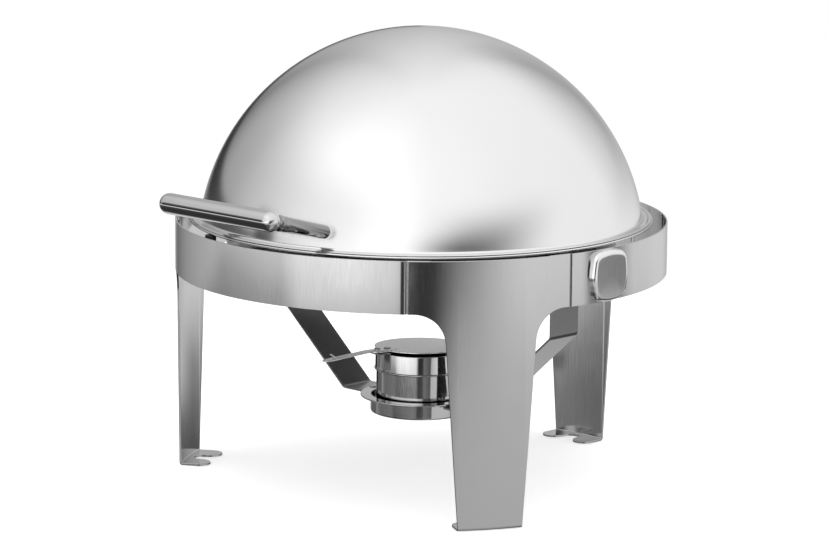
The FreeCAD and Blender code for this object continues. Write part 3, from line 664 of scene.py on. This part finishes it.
# ---- handle -----------------------------------------------------------------
def grip_stations():
    """Distances and radii of a bar with a round nose at each end."""
    nose = []
    for a in spread(0, 90, 12):
        a = math.radians(a)
        nose.append((-GRIP_R * math.cos(a), max(GRIP_R * math.sin(a), 0.01)))
    far = 2 * GRIP_HALF
    middle = [(far * k / 6, GRIP_R) for k in range(1, 6)]
    return nose + middle + [(far - d, r) for d, r in reversed(nose)]


grip_end = Vector((-GRIP_HALF, GRIP_Y, GRIP_Z))
piece(along("grip_bar", grip_stations(), grip_end, Vector((1, 0, 0)), 64),
      "dome", "handle_chrome", "handle_grip")


def sphere_reach(start, way, radius):
    """Distance from start along way to the near side of a sphere round the dome's centre."""
    rel = start - Vector((0, 0, DOME_Z))
    b = rel.dot(way)
    return -b - math.sqrt(b * b - rel.length_squared + radius * radius)


def arm_line(side):
    """Where an arm starts, on the grip's axis, and the way that it runs to the dome."""
    drop = math.radians(ARM_DROP_DEG)
    return Vector((side * GRIP_HALF, GRIP_Y, GRIP_Z)), Vector((0, math.cos(drop), -math.sin(drop)))


def handle_arm(name, side):
    """Tapered arm with a necked collar, its end fitted to the dome."""
    start, way = arm_line(side)
    reach = sphere_reach(start, way, DOME_R)
    collar = GRIP_R + 2.0
    stations = [(GRIP_R * 0.55, ARM_NECK_R), (collar - 0.4, ARM_NECK_R)]
    for past, drop_r in ((0.0, 0.9), (0.3, 0.2), (0.8, 0.0), (1.8, 0.0), (2.2, 0.5), (2.6, 0.7)):
        stations.append((collar + past, ARM_COLLAR_R - drop_r))
    last = stations[-1][0]
    for t in spread(0.04, 0.85, 9):
        stations.append((last + (reach - last) * t, ARM_R_GRIP - (ARM_R_GRIP - ARM_R_DOME) * t))
    loops = [[start + spoke * radius + way * distance for spoke in spokes(way)]
             for distance, radius in stations]
    end = []
    for spoke in spokes(way):
        edge = start + spoke * ARM_R_DOME
        end.append(edge + way * (sphere_reach(edge, way, DOME_R) + 0.1))
    return mesh_object(name, loops + [end], crease=40.0)


for place, side in SIDES.items():
    # the arms take the darker copy of the grip's chrome: painted shade for their dark reflections
    piece(handle_arm("arm_" + place, side), "dome", "handle_chrome", "handle_arm_" + place,
          look="arm_chrome_painted_shade")


# ---- pivot caps -------------------------------------------------------------
def cap_outline(half_w, half_h, corner, bulge):
    """Rounded square with slightly bowed sides, as (y, z) points."""
    out = []
    for quarter in range(4):
        w, h = (half_w, half_h) if quarter % 2 == 0 else (half_h, half_w)
        spin = Matrix.Rotation(math.radians(90 * quarter), 2)
        for t in spread(-1, 1, 8)[1:-1]:
            bow = bulge * (1 - t * t)
            out.append(spin @ Vector((w - bulge + bow, t * (h - bulge - corner))))
        for a in spread(0, 90, 8):
            a = math.radians(a)
            out.append(spin @ Vector((w - bulge - corner + corner * math.cos(a),
                                      h - bulge - corner + corner * math.sin(a))))
    return out


def pivot_cap(name, side):
    mid = (CAP_LOW + CAP_HIGH) / 2
    half_w = CAP_HIGH.y - mid.y
    half_h = CAP_HIGH.z - mid.z
    outer = cap_outline(half_w, half_h, CAP_CORNER, CAP_BULGE)
    loops = [[(math.sqrt(RING_R ** 2 - (mid.y + y) ** 2) - 0.4, y, z) for y, z in outer]]
    front = CAP_HIGH.x - CAP_CROWN
    for a in spread(0, 90, 8):
        a = math.radians(a)
        inset = CAP_BEVEL * (1 - math.cos(a))
        ring = cap_outline(half_w - inset, half_h - inset, CAP_CORNER - inset, CAP_BULGE)
        x = front - CAP_BEVEL + CAP_BEVEL * math.sin(a)
        loops.append([(x, y, z) for y, z in ring])
    for share in (0.9, 0.75, 0.55, 0.35, 0.15, 0.0):
        x = front + CAP_CROWN * (1 - share * share)
        loops.append([(x, y * share, z * share) for y, z in ring])
    loops = [[(side * x, mid.y + y, mid.z + z) for x, y, z in loop] for loop in loops]
    return mesh_object(name, loops, crease=40.0)


for place, side in SIDES.items():
    piece(pivot_cap("cap_" + place, side), "frame", "cap_chrome", "pivot_cap_" + place)


# ---- burner straps, dish, cup and collar ------------------------------------
def strap(name, side):
    section = bent_section(STRAP_PATH[::-1], STRAP_T, STRAP_BEND)
    loops = []
    for y in (-STRAP_HALF_W, STRAP_HALF_W):
        loops.append([(side * x, y, z) for x, z in section])
    return mesh_object(name, loops, bevel=0.45)


for place, side in SIDES.items():
    piece(strap("burner_strap_" + place, side), "frame", "strap_steel", "strap_" + place)

dish_in = DISH_R - CUP_T
flange_low = DISH_TOP - DISH_FLANGE_T
dish = rounded([
    (0, DISH_LOW, 0), (DISH_R, DISH_LOW, 1.8), (DISH_R, flange_low, 0.4),
    (DISH_OUT, flange_low, 0.5), (DISH_OUT, DISH_TOP, 0.5), (dish_in, DISH_TOP, 0.7),
    (dish_in, DISH_LOW + CUP_T, 1.2), (0, DISH_LOW + CUP_T, 0)], 5)
piece(lathe("burner_dish", dish), "frame", "burner_steel", "holder_dish")

cup_in = CUP_R - CUP_T
cup = rounded([
    (0, CUP_LOW, 0), (CUP_R, CUP_LOW, 1.5), (CUP_R, CUP_TOP, 0.3), (cup_in, CUP_TOP, 0.3),
    (cup_in, CUP_LOW + CUP_T, 1.0), (0, CUP_LOW + CUP_T, 0)], 5)
piece(lathe("fuel_cup", cup), "burner", "burner_steel", "burner_cup")

collar_in = CUP_R + COLLAR_FIT
bead = arc((COLLAR_R, COLLAR_LOW + COLLAR_BEAD_R), COLLAR_BEAD_R, -80, 80, 10)
collar = rounded(
    [(collar_in, COLLAR_LOW + 0.1, 0)] + [(r, z, 0) for r, z in bead]
    + [(COLLAR_R, COLLAR_TOP, 0.9), (MOUTH_R, COLLAR_TOP, 0.4),
       (MOUTH_R, COLLAR_TOP - COLLAR_T, 0.4), (collar_in, COLLAR_TOP - COLLAR_T, 0)], 5)
piece(lathe("cup_collar", collar), "burner", "burner_steel", "burner_collar")


# ---- damper -----------------------------------------------------------------
def tilted(p):
    """Lean a point drawn level on the lid the way the lid leans."""
    a = math.radians(LID_TILT_AZIMUTH)
    axis = Vector((-math.cos(a), -math.sin(a), 0))
    pivot = Vector((0, 0, LID_Z))
    return Matrix.Rotation(math.radians(LID_TILT_DEG), 3, axis) @ (Vector(p) - pivot) + pivot


def tongue_azimuth():
    return math.degrees(math.atan2(DAMPER_PIVOT.x, -DAMPER_PIVOT.y))


def lid_reach(off):
    """Radius of the lid's outline at an angle off the middle of its tongue."""
    off = abs(math.radians(off))
    away = DAMPER_PIVOT.length
    if off < math.asin(TONGUE_R / away):
        return away * math.cos(off) + math.sqrt(TONGUE_R ** 2 - (away * math.sin(off)) ** 2)
    if off < math.radians(TONGUE_SPAN_DEG):
        return max(LID_R, TONGUE_R / math.sin(off))
    return LID_R


def lid_plate():
    span = TONGUE_SPAN_DEG
    edge = spread(-span, span, 48) + spread(span, 360 - span, 120)[1:-1]
    loops = []
    for z in (LID_Z, LID_Z + LID_T):
        loop = []
        for off in edge:
            loop += turned([(0, -lid_reach(off), z)], tongue_azimuth() + off)
        loops.append([tilted(p) for p in loop])
    return mesh_object("lid_plate", loops, bevel=0.3)


def lever_plate():
    """Bent strip with a window and a raised finger, as one sheet given its thickness."""
    way = LEVER_TO - LEVER_FROM
    length = way.length
    half = LEVER_W / 2
    base = length - WINDOW_AT
    stations = [-half * math.cos(math.radians(a)) for a in spread(8, 90, 6)]
    stations += [LEVER_BEND_AT / 2, LEVER_BEND_AT, base - WINDOW_L, base]
    stations += [length + half * math.sin(math.radians(a)) for a in spread(0, 82, 6)]
    shares = (-1.0, -WINDOW_W / LEVER_W, WINDOW_W / LEVER_W, 1.0)
    verts = []
    faces = []
    for s in stations:
        past = max(-s, s - length, 0.0)
        wide = math.sqrt(half * half - past * past)
        verts += [(share * wide, -s, 0.0) for share in shares]
    for i in range(len(stations) - 1):
        for k in range(3):
            if k == 1 and stations[i] == base - WINDOW_L:
                continue
            faces.append((4 * i + k, 4 * i + k + 1, 4 * i + k + 5, 4 * i + k + 4))
    lean = math.radians(FINGER_LEAN_DEG)
    count = len(verts)
    for t in (0.0, 0.8, 0.93, 1.0):
        wide = FINGER_W / 2 * (1.0 if t < 0.9 else 0.86 if t < 1 else 0.5)
        out = -base - FINGER_PAST - FINGER_L * t * math.sin(lean)
        verts += [(x, out, FINGER_L * t * math.cos(lean)) for x in (-wide, wide)]
    faces += [(count + k, count + k + 1, count + k + 3, count + k + 2) for k in (0, 2, 4)]
    drop = Matrix.Rotation(math.radians(LEVER_DROP_DEG), 3, "X")
    bend = Vector((0, -LEVER_BEND_AT, LEVER_T))
    start = LEVER_FROM + Vector((0, 0, LID_Z + LID_T))
    placed = []
    for p in verts:
        p = Vector(p) + Vector((0, 0, LEVER_T / 2))
        if -p.y > LEVER_BEND_AT:
            p = drop @ (p - bend) + bend
        p = turned([p], math.degrees(math.atan2(way.x, -way.y)))[0] + start
        placed.append(tilted(p) * MM)
    obj = finished("lever_plate", placed, faces, crease=40.0)
    sheet = obj.modifiers.new("sheet", "SOLIDIFY")
    sheet.thickness = LEVER_T * MM * LEVER_T_SHARE
    sheet.offset = 0.0
    soften_edges(obj, 0.25)
    return obj


def clip_bracket():
    section = bent_section([
        (COLLAR_R, CLIP_LOW), (COLLAR_R, CLIP_TOP),
        (DAMPER_PIVOT.length + CLIP_PAST_PIN, CLIP_TOP)], CLIP_T, 1.0)
    loops = []
    for x in spread(-CLIP_W / 2, CLIP_W / 2, 8):
        loops.append(turned([(x, on_cylinder(x, r), z) for r, z in section], tongue_azimuth()))
    return mesh_object("clip_bracket", loops, bevel=0.35)


# lid and lever take the brighter copy of the burner steel: painted light on their tops
piece(lid_plate(), "damper", "burner_steel", "damper_lid", look="lid_steel_painted_light")
piece(lever_plate(), "damper", "burner_steel", "damper_handle", look="lid_steel_painted_light")
piece(clip_bracket(), "burner", "burner_steel", "collar_clip")


# ---- rivets and screws ------------------------------------------------------
def dome_head(at, radius, height, flip):
    """Stations of a low domed rivet head that rises from a face."""
    out = [(at, radius)]
    for a in spread(20, 85, 5):
        a = math.radians(a)
        rise = height * (0.25 + 0.75 * math.sin(a))
        out.append((at + flip * rise, radius * math.cos(a) ** 0.6))
    return out


def rivet(name, lo, hi, way, shank_r, head_r, head_h, heads=(True, True)):
    """Rivet between two outer ends, with a domed head wherever one is wanted."""
    length = (hi - lo).length
    stations = []
    if heads[0]:
        stations += dome_head(head_h, head_r, head_h, -1)[::-1]
    stations.append((head_h if heads[0] else 0.0, shank_r))
    stations.append((length - head_h if heads[1] else length, shank_r))
    if heads[1]:
        stations += dome_head(length - head_h, head_r, head_h, 1)
    return along(name, stations, lo, way, 32, crease=50.0)


def boxed_ends(name, axis):
    """The two ends of a straight part that lies along a frame axis."""
    lo, hi = low(name), high(name)
    mid = (lo + hi) / 2
    start, end = mid.copy(), mid.copy()
    start[axis], end[axis] = lo[axis], hi[axis]
    return start, end


for place in SIDES:
    for row in ("front", "rear"):
        for part, axis, way in (("strap", 0, Vector((1, 0, 0))), ("dish", 2, Vector((0, 0, 1)))):
            node = "%s_rivet_%s_%s" % (part, place, row)
            stud = "%s_stud_%s_%s" % (part, place, row)
            piece(rivet(stud, *boxed_ends(node, axis), way, RIVET_R, RIVET_HEAD_R, RIVET_HEAD_H),
                  "frame", "hardware_steel", node)

seat = LEVER_FROM + (LEVER_TO - LEVER_FROM).normalized() * LEVER_RIVET_AT
seat_low = tilted(seat + Vector((0, 0, LID_Z)))
seat_high = tilted(seat + Vector((0, 0, LID_Z + LID_T + LEVER_T + RIVET_HEAD_H)))
piece(rivet("lever_stud", seat_low, seat_high, (seat_high - seat_low).normalized(),
            RIVET_R, RIVET_HEAD_R, RIVET_HEAD_H, (False, True)),
      "damper", "hardware_steel", "damper_rivet")

pin_ends = boxed_ends("damper_pin", 2)
piece(rivet("pivot_pin", *pin_ends, Vector((0, 0, 1)), RIVET_R, PIN_HEAD_R, RIVET_HEAD_H),
      "burner", "hardware_steel", "damper_pin")


def handle_screw(name, side):
    """Pan-head screw whose head sits on the saddle inside the dome."""
    start, way = arm_line(side)
    wall = sphere_reach(start, way, DOME_R - DOME_T)
    tip = wall - SCREW_IN_ARM
    seat = wall + SADDLE_T
    top = seat + SCREW_HEAD_H
    stations = [(tip, SCREW_R - 0.5), (tip + 0.5, SCREW_R), (seat, SCREW_R),
                (seat, SCREW_HEAD_R - 0.4), (seat + 0.4, SCREW_HEAD_R),
                (seat + 1.6, SCREW_HEAD_R - 0.1), (seat + 2.5, SCREW_HEAD_R - 0.8),
                (top, SCREW_HEAD_R - 2.2), (top, 0.3)]
    return along(name, stations, start, way, 36, crease=50.0)


for place, side in SIDES.items():
    piece(handle_screw("screw_" + place, side), "dome", "hardware_steel", "handle_screw_" + place)


# ---- camera -----------------------------------------------------------------
CAMERA_AZIMUTH = math.radians(43.788)
CAMERA_REACH = 3.96606
CAMERA_Z = 0.94114
CAMERA_PITCH = math.radians(10.674)
CAMERA_YAW = math.radians(-0.096)
CAMERA_ROLL = math.radians(0.423)
LENS = 183.06


def make_camera():
    data = bpy.data.cameras.new("camera")
    data.lens = LENS
    data.sensor_width = 36.0
    data.clip_end = 100.0
    camera = bpy.data.objects.new("camera", data)
    bpy.context.scene.collection.objects.link(camera)
    s, c = math.sin(CAMERA_AZIMUTH), math.cos(CAMERA_AZIMUTH)
    ahead = Vector((-s, c, 0))
    right = Vector((c, s, 0))
    up = Vector((0, 0, 1))
    level = ahead * math.cos(CAMERA_YAW) + right * math.sin(CAMERA_YAW)
    right = right * math.cos(CAMERA_YAW) - ahead * math.sin(CAMERA_YAW)
    view = level * math.cos(CAMERA_PITCH) - up * math.sin(CAMERA_PITCH)
    top = right.cross(view)
    rolled_right = right * math.cos(CAMERA_ROLL) + top * math.sin(CAMERA_ROLL)
    rolled_top = top * math.cos(CAMERA_ROLL) - right * math.sin(CAMERA_ROLL)
    place = Matrix((rolled_right, rolled_top, -view)).transposed().to_4x4()
    place.translation = Vector((s * CAMERA_REACH, -c * CAMERA_REACH, CAMERA_Z))
    camera.matrix_world = place
    bpy.context.scene.camera = camera


make_camera()


# ---- floor ------------------------------------------------------------------
FLOOR_RADII = (0.0, 300.0, 600.0, 900.0, 1300.0)
FLOOR_Z = -0.5
FLOOR_GLOW = 0.56
FADE_FROM = 0.85             # metres from the middle
FADE_TO = 1.2


def make_floor():
    """Pale table top whose edge fades into the white backdrop."""
    turns = spread(0, 2 * math.pi, 96)[:-1]
    loops = [[(r * math.cos(a), r * math.sin(a), FLOOR_Z) for a in turns] for r in FLOOR_RADII]
    floor = mesh_object("floor", loops, capped=False)
    made, tree, shader = new_material("floor")
    tree.nodes.remove(shader)
    out = next(n for n in tree.nodes if n.type == "OUTPUT_MATERIAL")
    place = tree.nodes.new("ShaderNodeTexCoord").outputs["Object"]
    length = tree.nodes.new("ShaderNodeVectorMath")
    length.operation = "LENGTH"
    tree.links.new(place, length.inputs[0])
    fade = ranged(tree, length.outputs["Value"], FADE_FROM, FADE_TO, 0.0, 1.0, True)
    colour = two_tones(tree, noise(tree, place, 60.0, 3.0), (0.78,) * 3, (0.82,) * 3)
    paper = tree.nodes.new("ShaderNodeBsdfDiffuse")
    tree.links.new(colour, paper.inputs["Color"])
    glow = tree.nodes.new("ShaderNodeEmission")
    glow.inputs["Strength"].default_value = FLOOR_GLOW
    add = tree.nodes.new("ShaderNodeAddShader")
    tree.links.new(paper.outputs[0], add.inputs[0])
    tree.links.new(glow.outputs[0], add.inputs[1])
    clear = tree.nodes.new("ShaderNodeBsdfTransparent")
    mix = tree.nodes.new("ShaderNodeMixShader")
    tree.links.new(fade, mix.inputs["Fac"])
    tree.links.new(add.outputs[0], mix.inputs[1])
    tree.links.new(clear.outputs[0], mix.inputs[2])
    tree.links.new(mix.outputs[0], out.inputs["Surface"])
    floor.data.materials.append(made)
    floor.visible_glossy = False     # reflections show the surround's table instead


make_floor()


# ---- studio -----------------------------------------------------------------
STUDIO_FRONT_DEG = 43.8      # the studio's front, in degrees from -Y towards +X
OVERHEAD_LEVEL = 1.12
CAP_PATCH_SHADE = 0.78
POLE_DEG = -89.0
POLE_SHADE = 0.80
GAP_SHADE = 0.98
RIGHT_TABLE_SHADE = 0.80
LEFT_LINE_SHADE = 0.85
REAR_GLOW = 0.74


class Surround:
    """Node maths on a direction: degrees to the right of the studio's front, and degrees up."""

    def __init__(self, tree):
        self.tree = tree
        way = tree.nodes.new("ShaderNodeTexCoord").outputs["Generated"]
        split = tree.nodes.new("ShaderNodeSeparateXYZ")
        tree.links.new(way, split.inputs[0])
        x, y, z = split.outputs
        s = math.sin(math.radians(STUDIO_FRONT_DEG))
        c = math.cos(math.radians(STUDIO_FRONT_DEG))
        front = self.op("SUBTRACT", self.op("MULTIPLY", x, s), self.op("MULTIPLY", y, c))
        right = self.op("ADD", self.op("MULTIPLY", x, c), self.op("MULTIPLY", y, s))
        self.azimuth = self.op("MULTIPLY", self.op("ARCTAN2", right, front), 180 / math.pi)
        self.elevation = self.op("MULTIPLY", self.op("ARCSINE", z), 180 / math.pi)
        self.turn = self.linear(self.azimuth, -180.0, 180.0)

    def op(self, kind, *inputs):
        return math_op(self.tree, kind, *inputs)

    def product(self, first, *others):
        for other in others:
            first = self.op("MULTIPLY", first, other)
        return first

    def linear(self, value, lo, hi, to_lo=0.0, to_hi=1.0):
        return ranged(self.tree, value, lo, hi, to_lo, to_hi)

    def rising(self, value, lo, hi):
        """Smooth step from 0 at lo to 1 at hi."""
        return ranged(self.tree, value, lo, hi, 0.0, 1.0, True)

    def falling(self, value, lo, hi):
        """Smooth step from 1 at lo to 0 at hi."""
        return ranged(self.tree, value, lo, hi, 1.0, 0.0, True)

    def blend(self, share, first, second):
        """first where share is 0 and second where it is 1."""
        return self.op("ADD", self.op("MULTIPLY", first, self.op("SUBTRACT", 1.0, share)),
                       self.op("MULTIPLY", second, share))

    def dimmed(self, level, mask, shade):
        """Level with a share of it taken away where the mask is 1."""
        return self.op("MULTIPLY", level,
                       self.op("SUBTRACT", 1.0, self.op("MULTIPLY", mask, shade)))

    def around(self, *stops):
        """Brightness by direction round the dish, from (degrees, level) stops."""
        peak = max(level for _, level in stops)
        ramp = self.tree.nodes.new("ShaderNodeValToRGB")
        marks = ramp.color_ramp.elements
        for i, (degrees, level) in enumerate(stops):
            place = (degrees + 180.0) / 360.0
            mark = marks[i] if i < 2 else marks.new(place)
            mark.position = place
            mark.color = (level / peak, level / peak, level / peak, 1)
        self.tree.links.new(self.turn, ramp.inputs["Fac"])
        return self.op("MULTIPLY", ramp.outputs["Color"], peak)


def tent_level(sky):
    """Tent walls: brightest at the front left, grey at the back, even overhead."""
    horizon = sky.around(
        (-180, 0.51), (-170, 0.40), (-160, 0.18), (-140, 0.47), (-120, 0.70), (-100, 1.00),
        (-68, 1.56), (-32, 1.76), (5, 1.28), (60, 1.08), (140, 0.98), (154, 0.84), (168, 0.52))
    tent = sky.blend(sky.linear(sky.elevation, 5.0, 85.0), horizon, OVERHEAD_LEVEL)

    # greyer at mid height, all along the left and in one place at the back
    flanks = sky.around(
        (-170, 1.0), (-150, 0.88), (-125, 0.68), (-72, 0.66), (-36, 0.71), (-10, 0.94), (118, 1.0),
        (160, 0.52), (172, 1.0))
    height = sky.product(sky.rising(sky.elevation, -8.0, 8.0),
                         sky.falling(sky.elevation, 20.0, 55.0))
    tent = sky.product(tent, sky.blend(height, 1.0, flanks))

    # low dark patch on the right, seen by the right cap's face
    cap_patch = sky.product(sky.rising(sky.azimuth, 80.0, 86.0),
                            sky.falling(sky.azimuth, 98.0, 118.0),
                            sky.falling(sky.elevation, -9.0, -7.0))
    tent = sky.dimmed(tent, cap_patch, CAP_PATCH_SHADE)

    # narrow dark pole on the left, seen by the grip along its whole length
    off_pole = sky.op("ABSOLUTE", sky.op("SUBTRACT", sky.azimuth, POLE_DEG))
    pole = sky.product(sky.falling(off_pole, 5.0, 9.0),
                       sky.rising(sky.elevation, -8.0, -6.0),
                       sky.falling(sky.elevation, 9.0, 16.0))
    return sky.dimmed(tent, pole, POLE_SHADE)


def front_gap(sky):
    """Dark opening between the tent's front flaps, leaning to the right as it rises."""
    middle = sky.op("ADD", sky.linear(sky.elevation, -12.0, 20.0, -13.8, 23.0), 12.0)
    across = sky.op("SUBTRACT", sky.azimuth, middle)
    left_width = sky.linear(sky.elevation, -10.0, 13.0, 11.0, 40.0)
    left_side = sky.falling(sky.op("MULTIPLY", across, -1.0), 4.0, left_width)
    return sky.product(left_side, sky.falling(across, 2.0, 54.0),
                       sky.falling(sky.elevation, 3.0, 33.0))


def table_level(sky):
    """Table top: dark on the left and in front, pale at the front right and at the back."""
    table = sky.around(
        (-175, 0.50), (-150, 0.14), (-72, 0.23), (-60, 0.10), (-14, 0.20), (-6, 0.05),
        (6, 0.10), (17, 0.70), (60, 0.70), (130, 0.34), (142, 0.30), (152, 0.48), (166, 0.68))
    right_part = sky.product(sky.falling(sky.elevation, -12.7, -11.9),
                             sky.rising(sky.azimuth, 80.0, 120.0))
    table = sky.dimmed(table, right_part, RIGHT_TABLE_SHADE)
    further_in = sky.around((-165, 0.62), (-152, 0.06), (-60, 0.06), (-40, 0.62))
    return sky.blend(sky.falling(sky.elevation, -16.0, -14.4), table, further_in)


def floor_level(sky):
    """Surface right round the dish: dark, with a pale part at the front right and one at the back."""
    tone = sky.around(
        (-165, 0.13), (-152, 0.045), (-50, 0.045), (-20, 0.13), (6, 0.13), (18, 0.50), (58, 0.50),
        (76, 0.13))
    rear = sky.product(sky.rising(sky.op("ABSOLUTE", sky.azimuth), 128.0, 158.0),
                       sky.rising(sky.elevation, -62.0, -44.0),
                       sky.falling(sky.elevation, -30.0, -24.0))
    return sky.op("ADD", tone, sky.op("MULTIPLY", rear, REAR_GLOW))


def surround_level(sky):
    tent = sky.dimmed(tent_level(sky), front_gap(sky), GAP_SHADE)

    # the table ends about 11 degrees below the horizon, highest on the left
    rise = sky.around(
        (-125, 0.9), (-105, 0.1), (-68, 0.1), (-58, 0.8), (-12, 0.8), (2, 1.0), (140, 0.9))
    on_table = sky.falling(sky.op("ADD", sky.elevation, rise), -10.8, -10.0)
    level = sky.blend(on_table, tent, table_level(sky))
    level = sky.blend(sky.falling(sky.elevation, -30.0, -18.0), level, floor_level(sky))

    # dark line along the horizon, on the left
    line = sky.product(sky.falling(sky.op("ABSOLUTE", sky.elevation), 2.5, 6.0),
                       sky.falling(sky.azimuth, -75.0, -45.0))
    return sky.dimmed(level, line, LEFT_LINE_SHADE)


def make_world():
    """The surround, seen only in reflections and as light; the camera sees plain white."""
    world = bpy.data.worlds.new("studio")
    world.use_nodes = True
    bpy.context.scene.world = world
    tree = world.node_tree
    back = next(n for n in tree.nodes if n.type == "BACKGROUND")
    out = next(n for n in tree.nodes if n.type == "OUTPUT_WORLD")
    back.inputs["Color"].default_value = (1, 1, 1, 1)
    tree.links.new(surround_level(Surround(tree)), back.inputs["Strength"])

    plain = tree.nodes.new("ShaderNodeBackground")
    plain.inputs["Color"].default_value = (1, 1, 1, 1)
    seen = tree.nodes.new("ShaderNodeLightPath").outputs["Is Camera Ray"]
    mix = tree.nodes.new("ShaderNodeMixShader")
    tree.links.new(seen, mix.inputs["Fac"])
    tree.links.new(back.outputs[0], mix.inputs[1])
    tree.links.new(plain.outputs[0], mix.inputs[2])
    tree.links.new(mix.outputs[0], out.inputs["Surface"])


make_world()


def softbox(name, at, aim, size, power):
    data = bpy.data.lights.new(name, "AREA")
    data.shape = "DISK"
    data.size = size
    data.energy = power
    lamp = bpy.data.objects.new(name, data)
    bpy.context.scene.collection.objects.link(lamp)
    way = Vector(aim) - Vector(at)
    lamp.matrix_world = Matrix.Translation(at) @ way.to_track_quat("-Z", "Y").to_matrix().to_4x4()
    return lamp


overhead = softbox("overhead", (0.2, -0.3, 2.6), (0, 0, 0.1), 2.0, 14.0)
overhead.visible_glossy = False

# ---- carried-over CAD nodes --------------------------------------------------
slots = {part["node"]: part["material_slot"] for part in frame["record"]["subparts"]}
for name, obj in frame["nodes"].items():
    if obj.hide_render:
        continue
    obj.data.materials.clear()
    obj.data.materials.append(MATERIALS[slots[name]])

view = bpy.context.scene.view_settings
view.view_transform = "Standard"
view.look = "None"
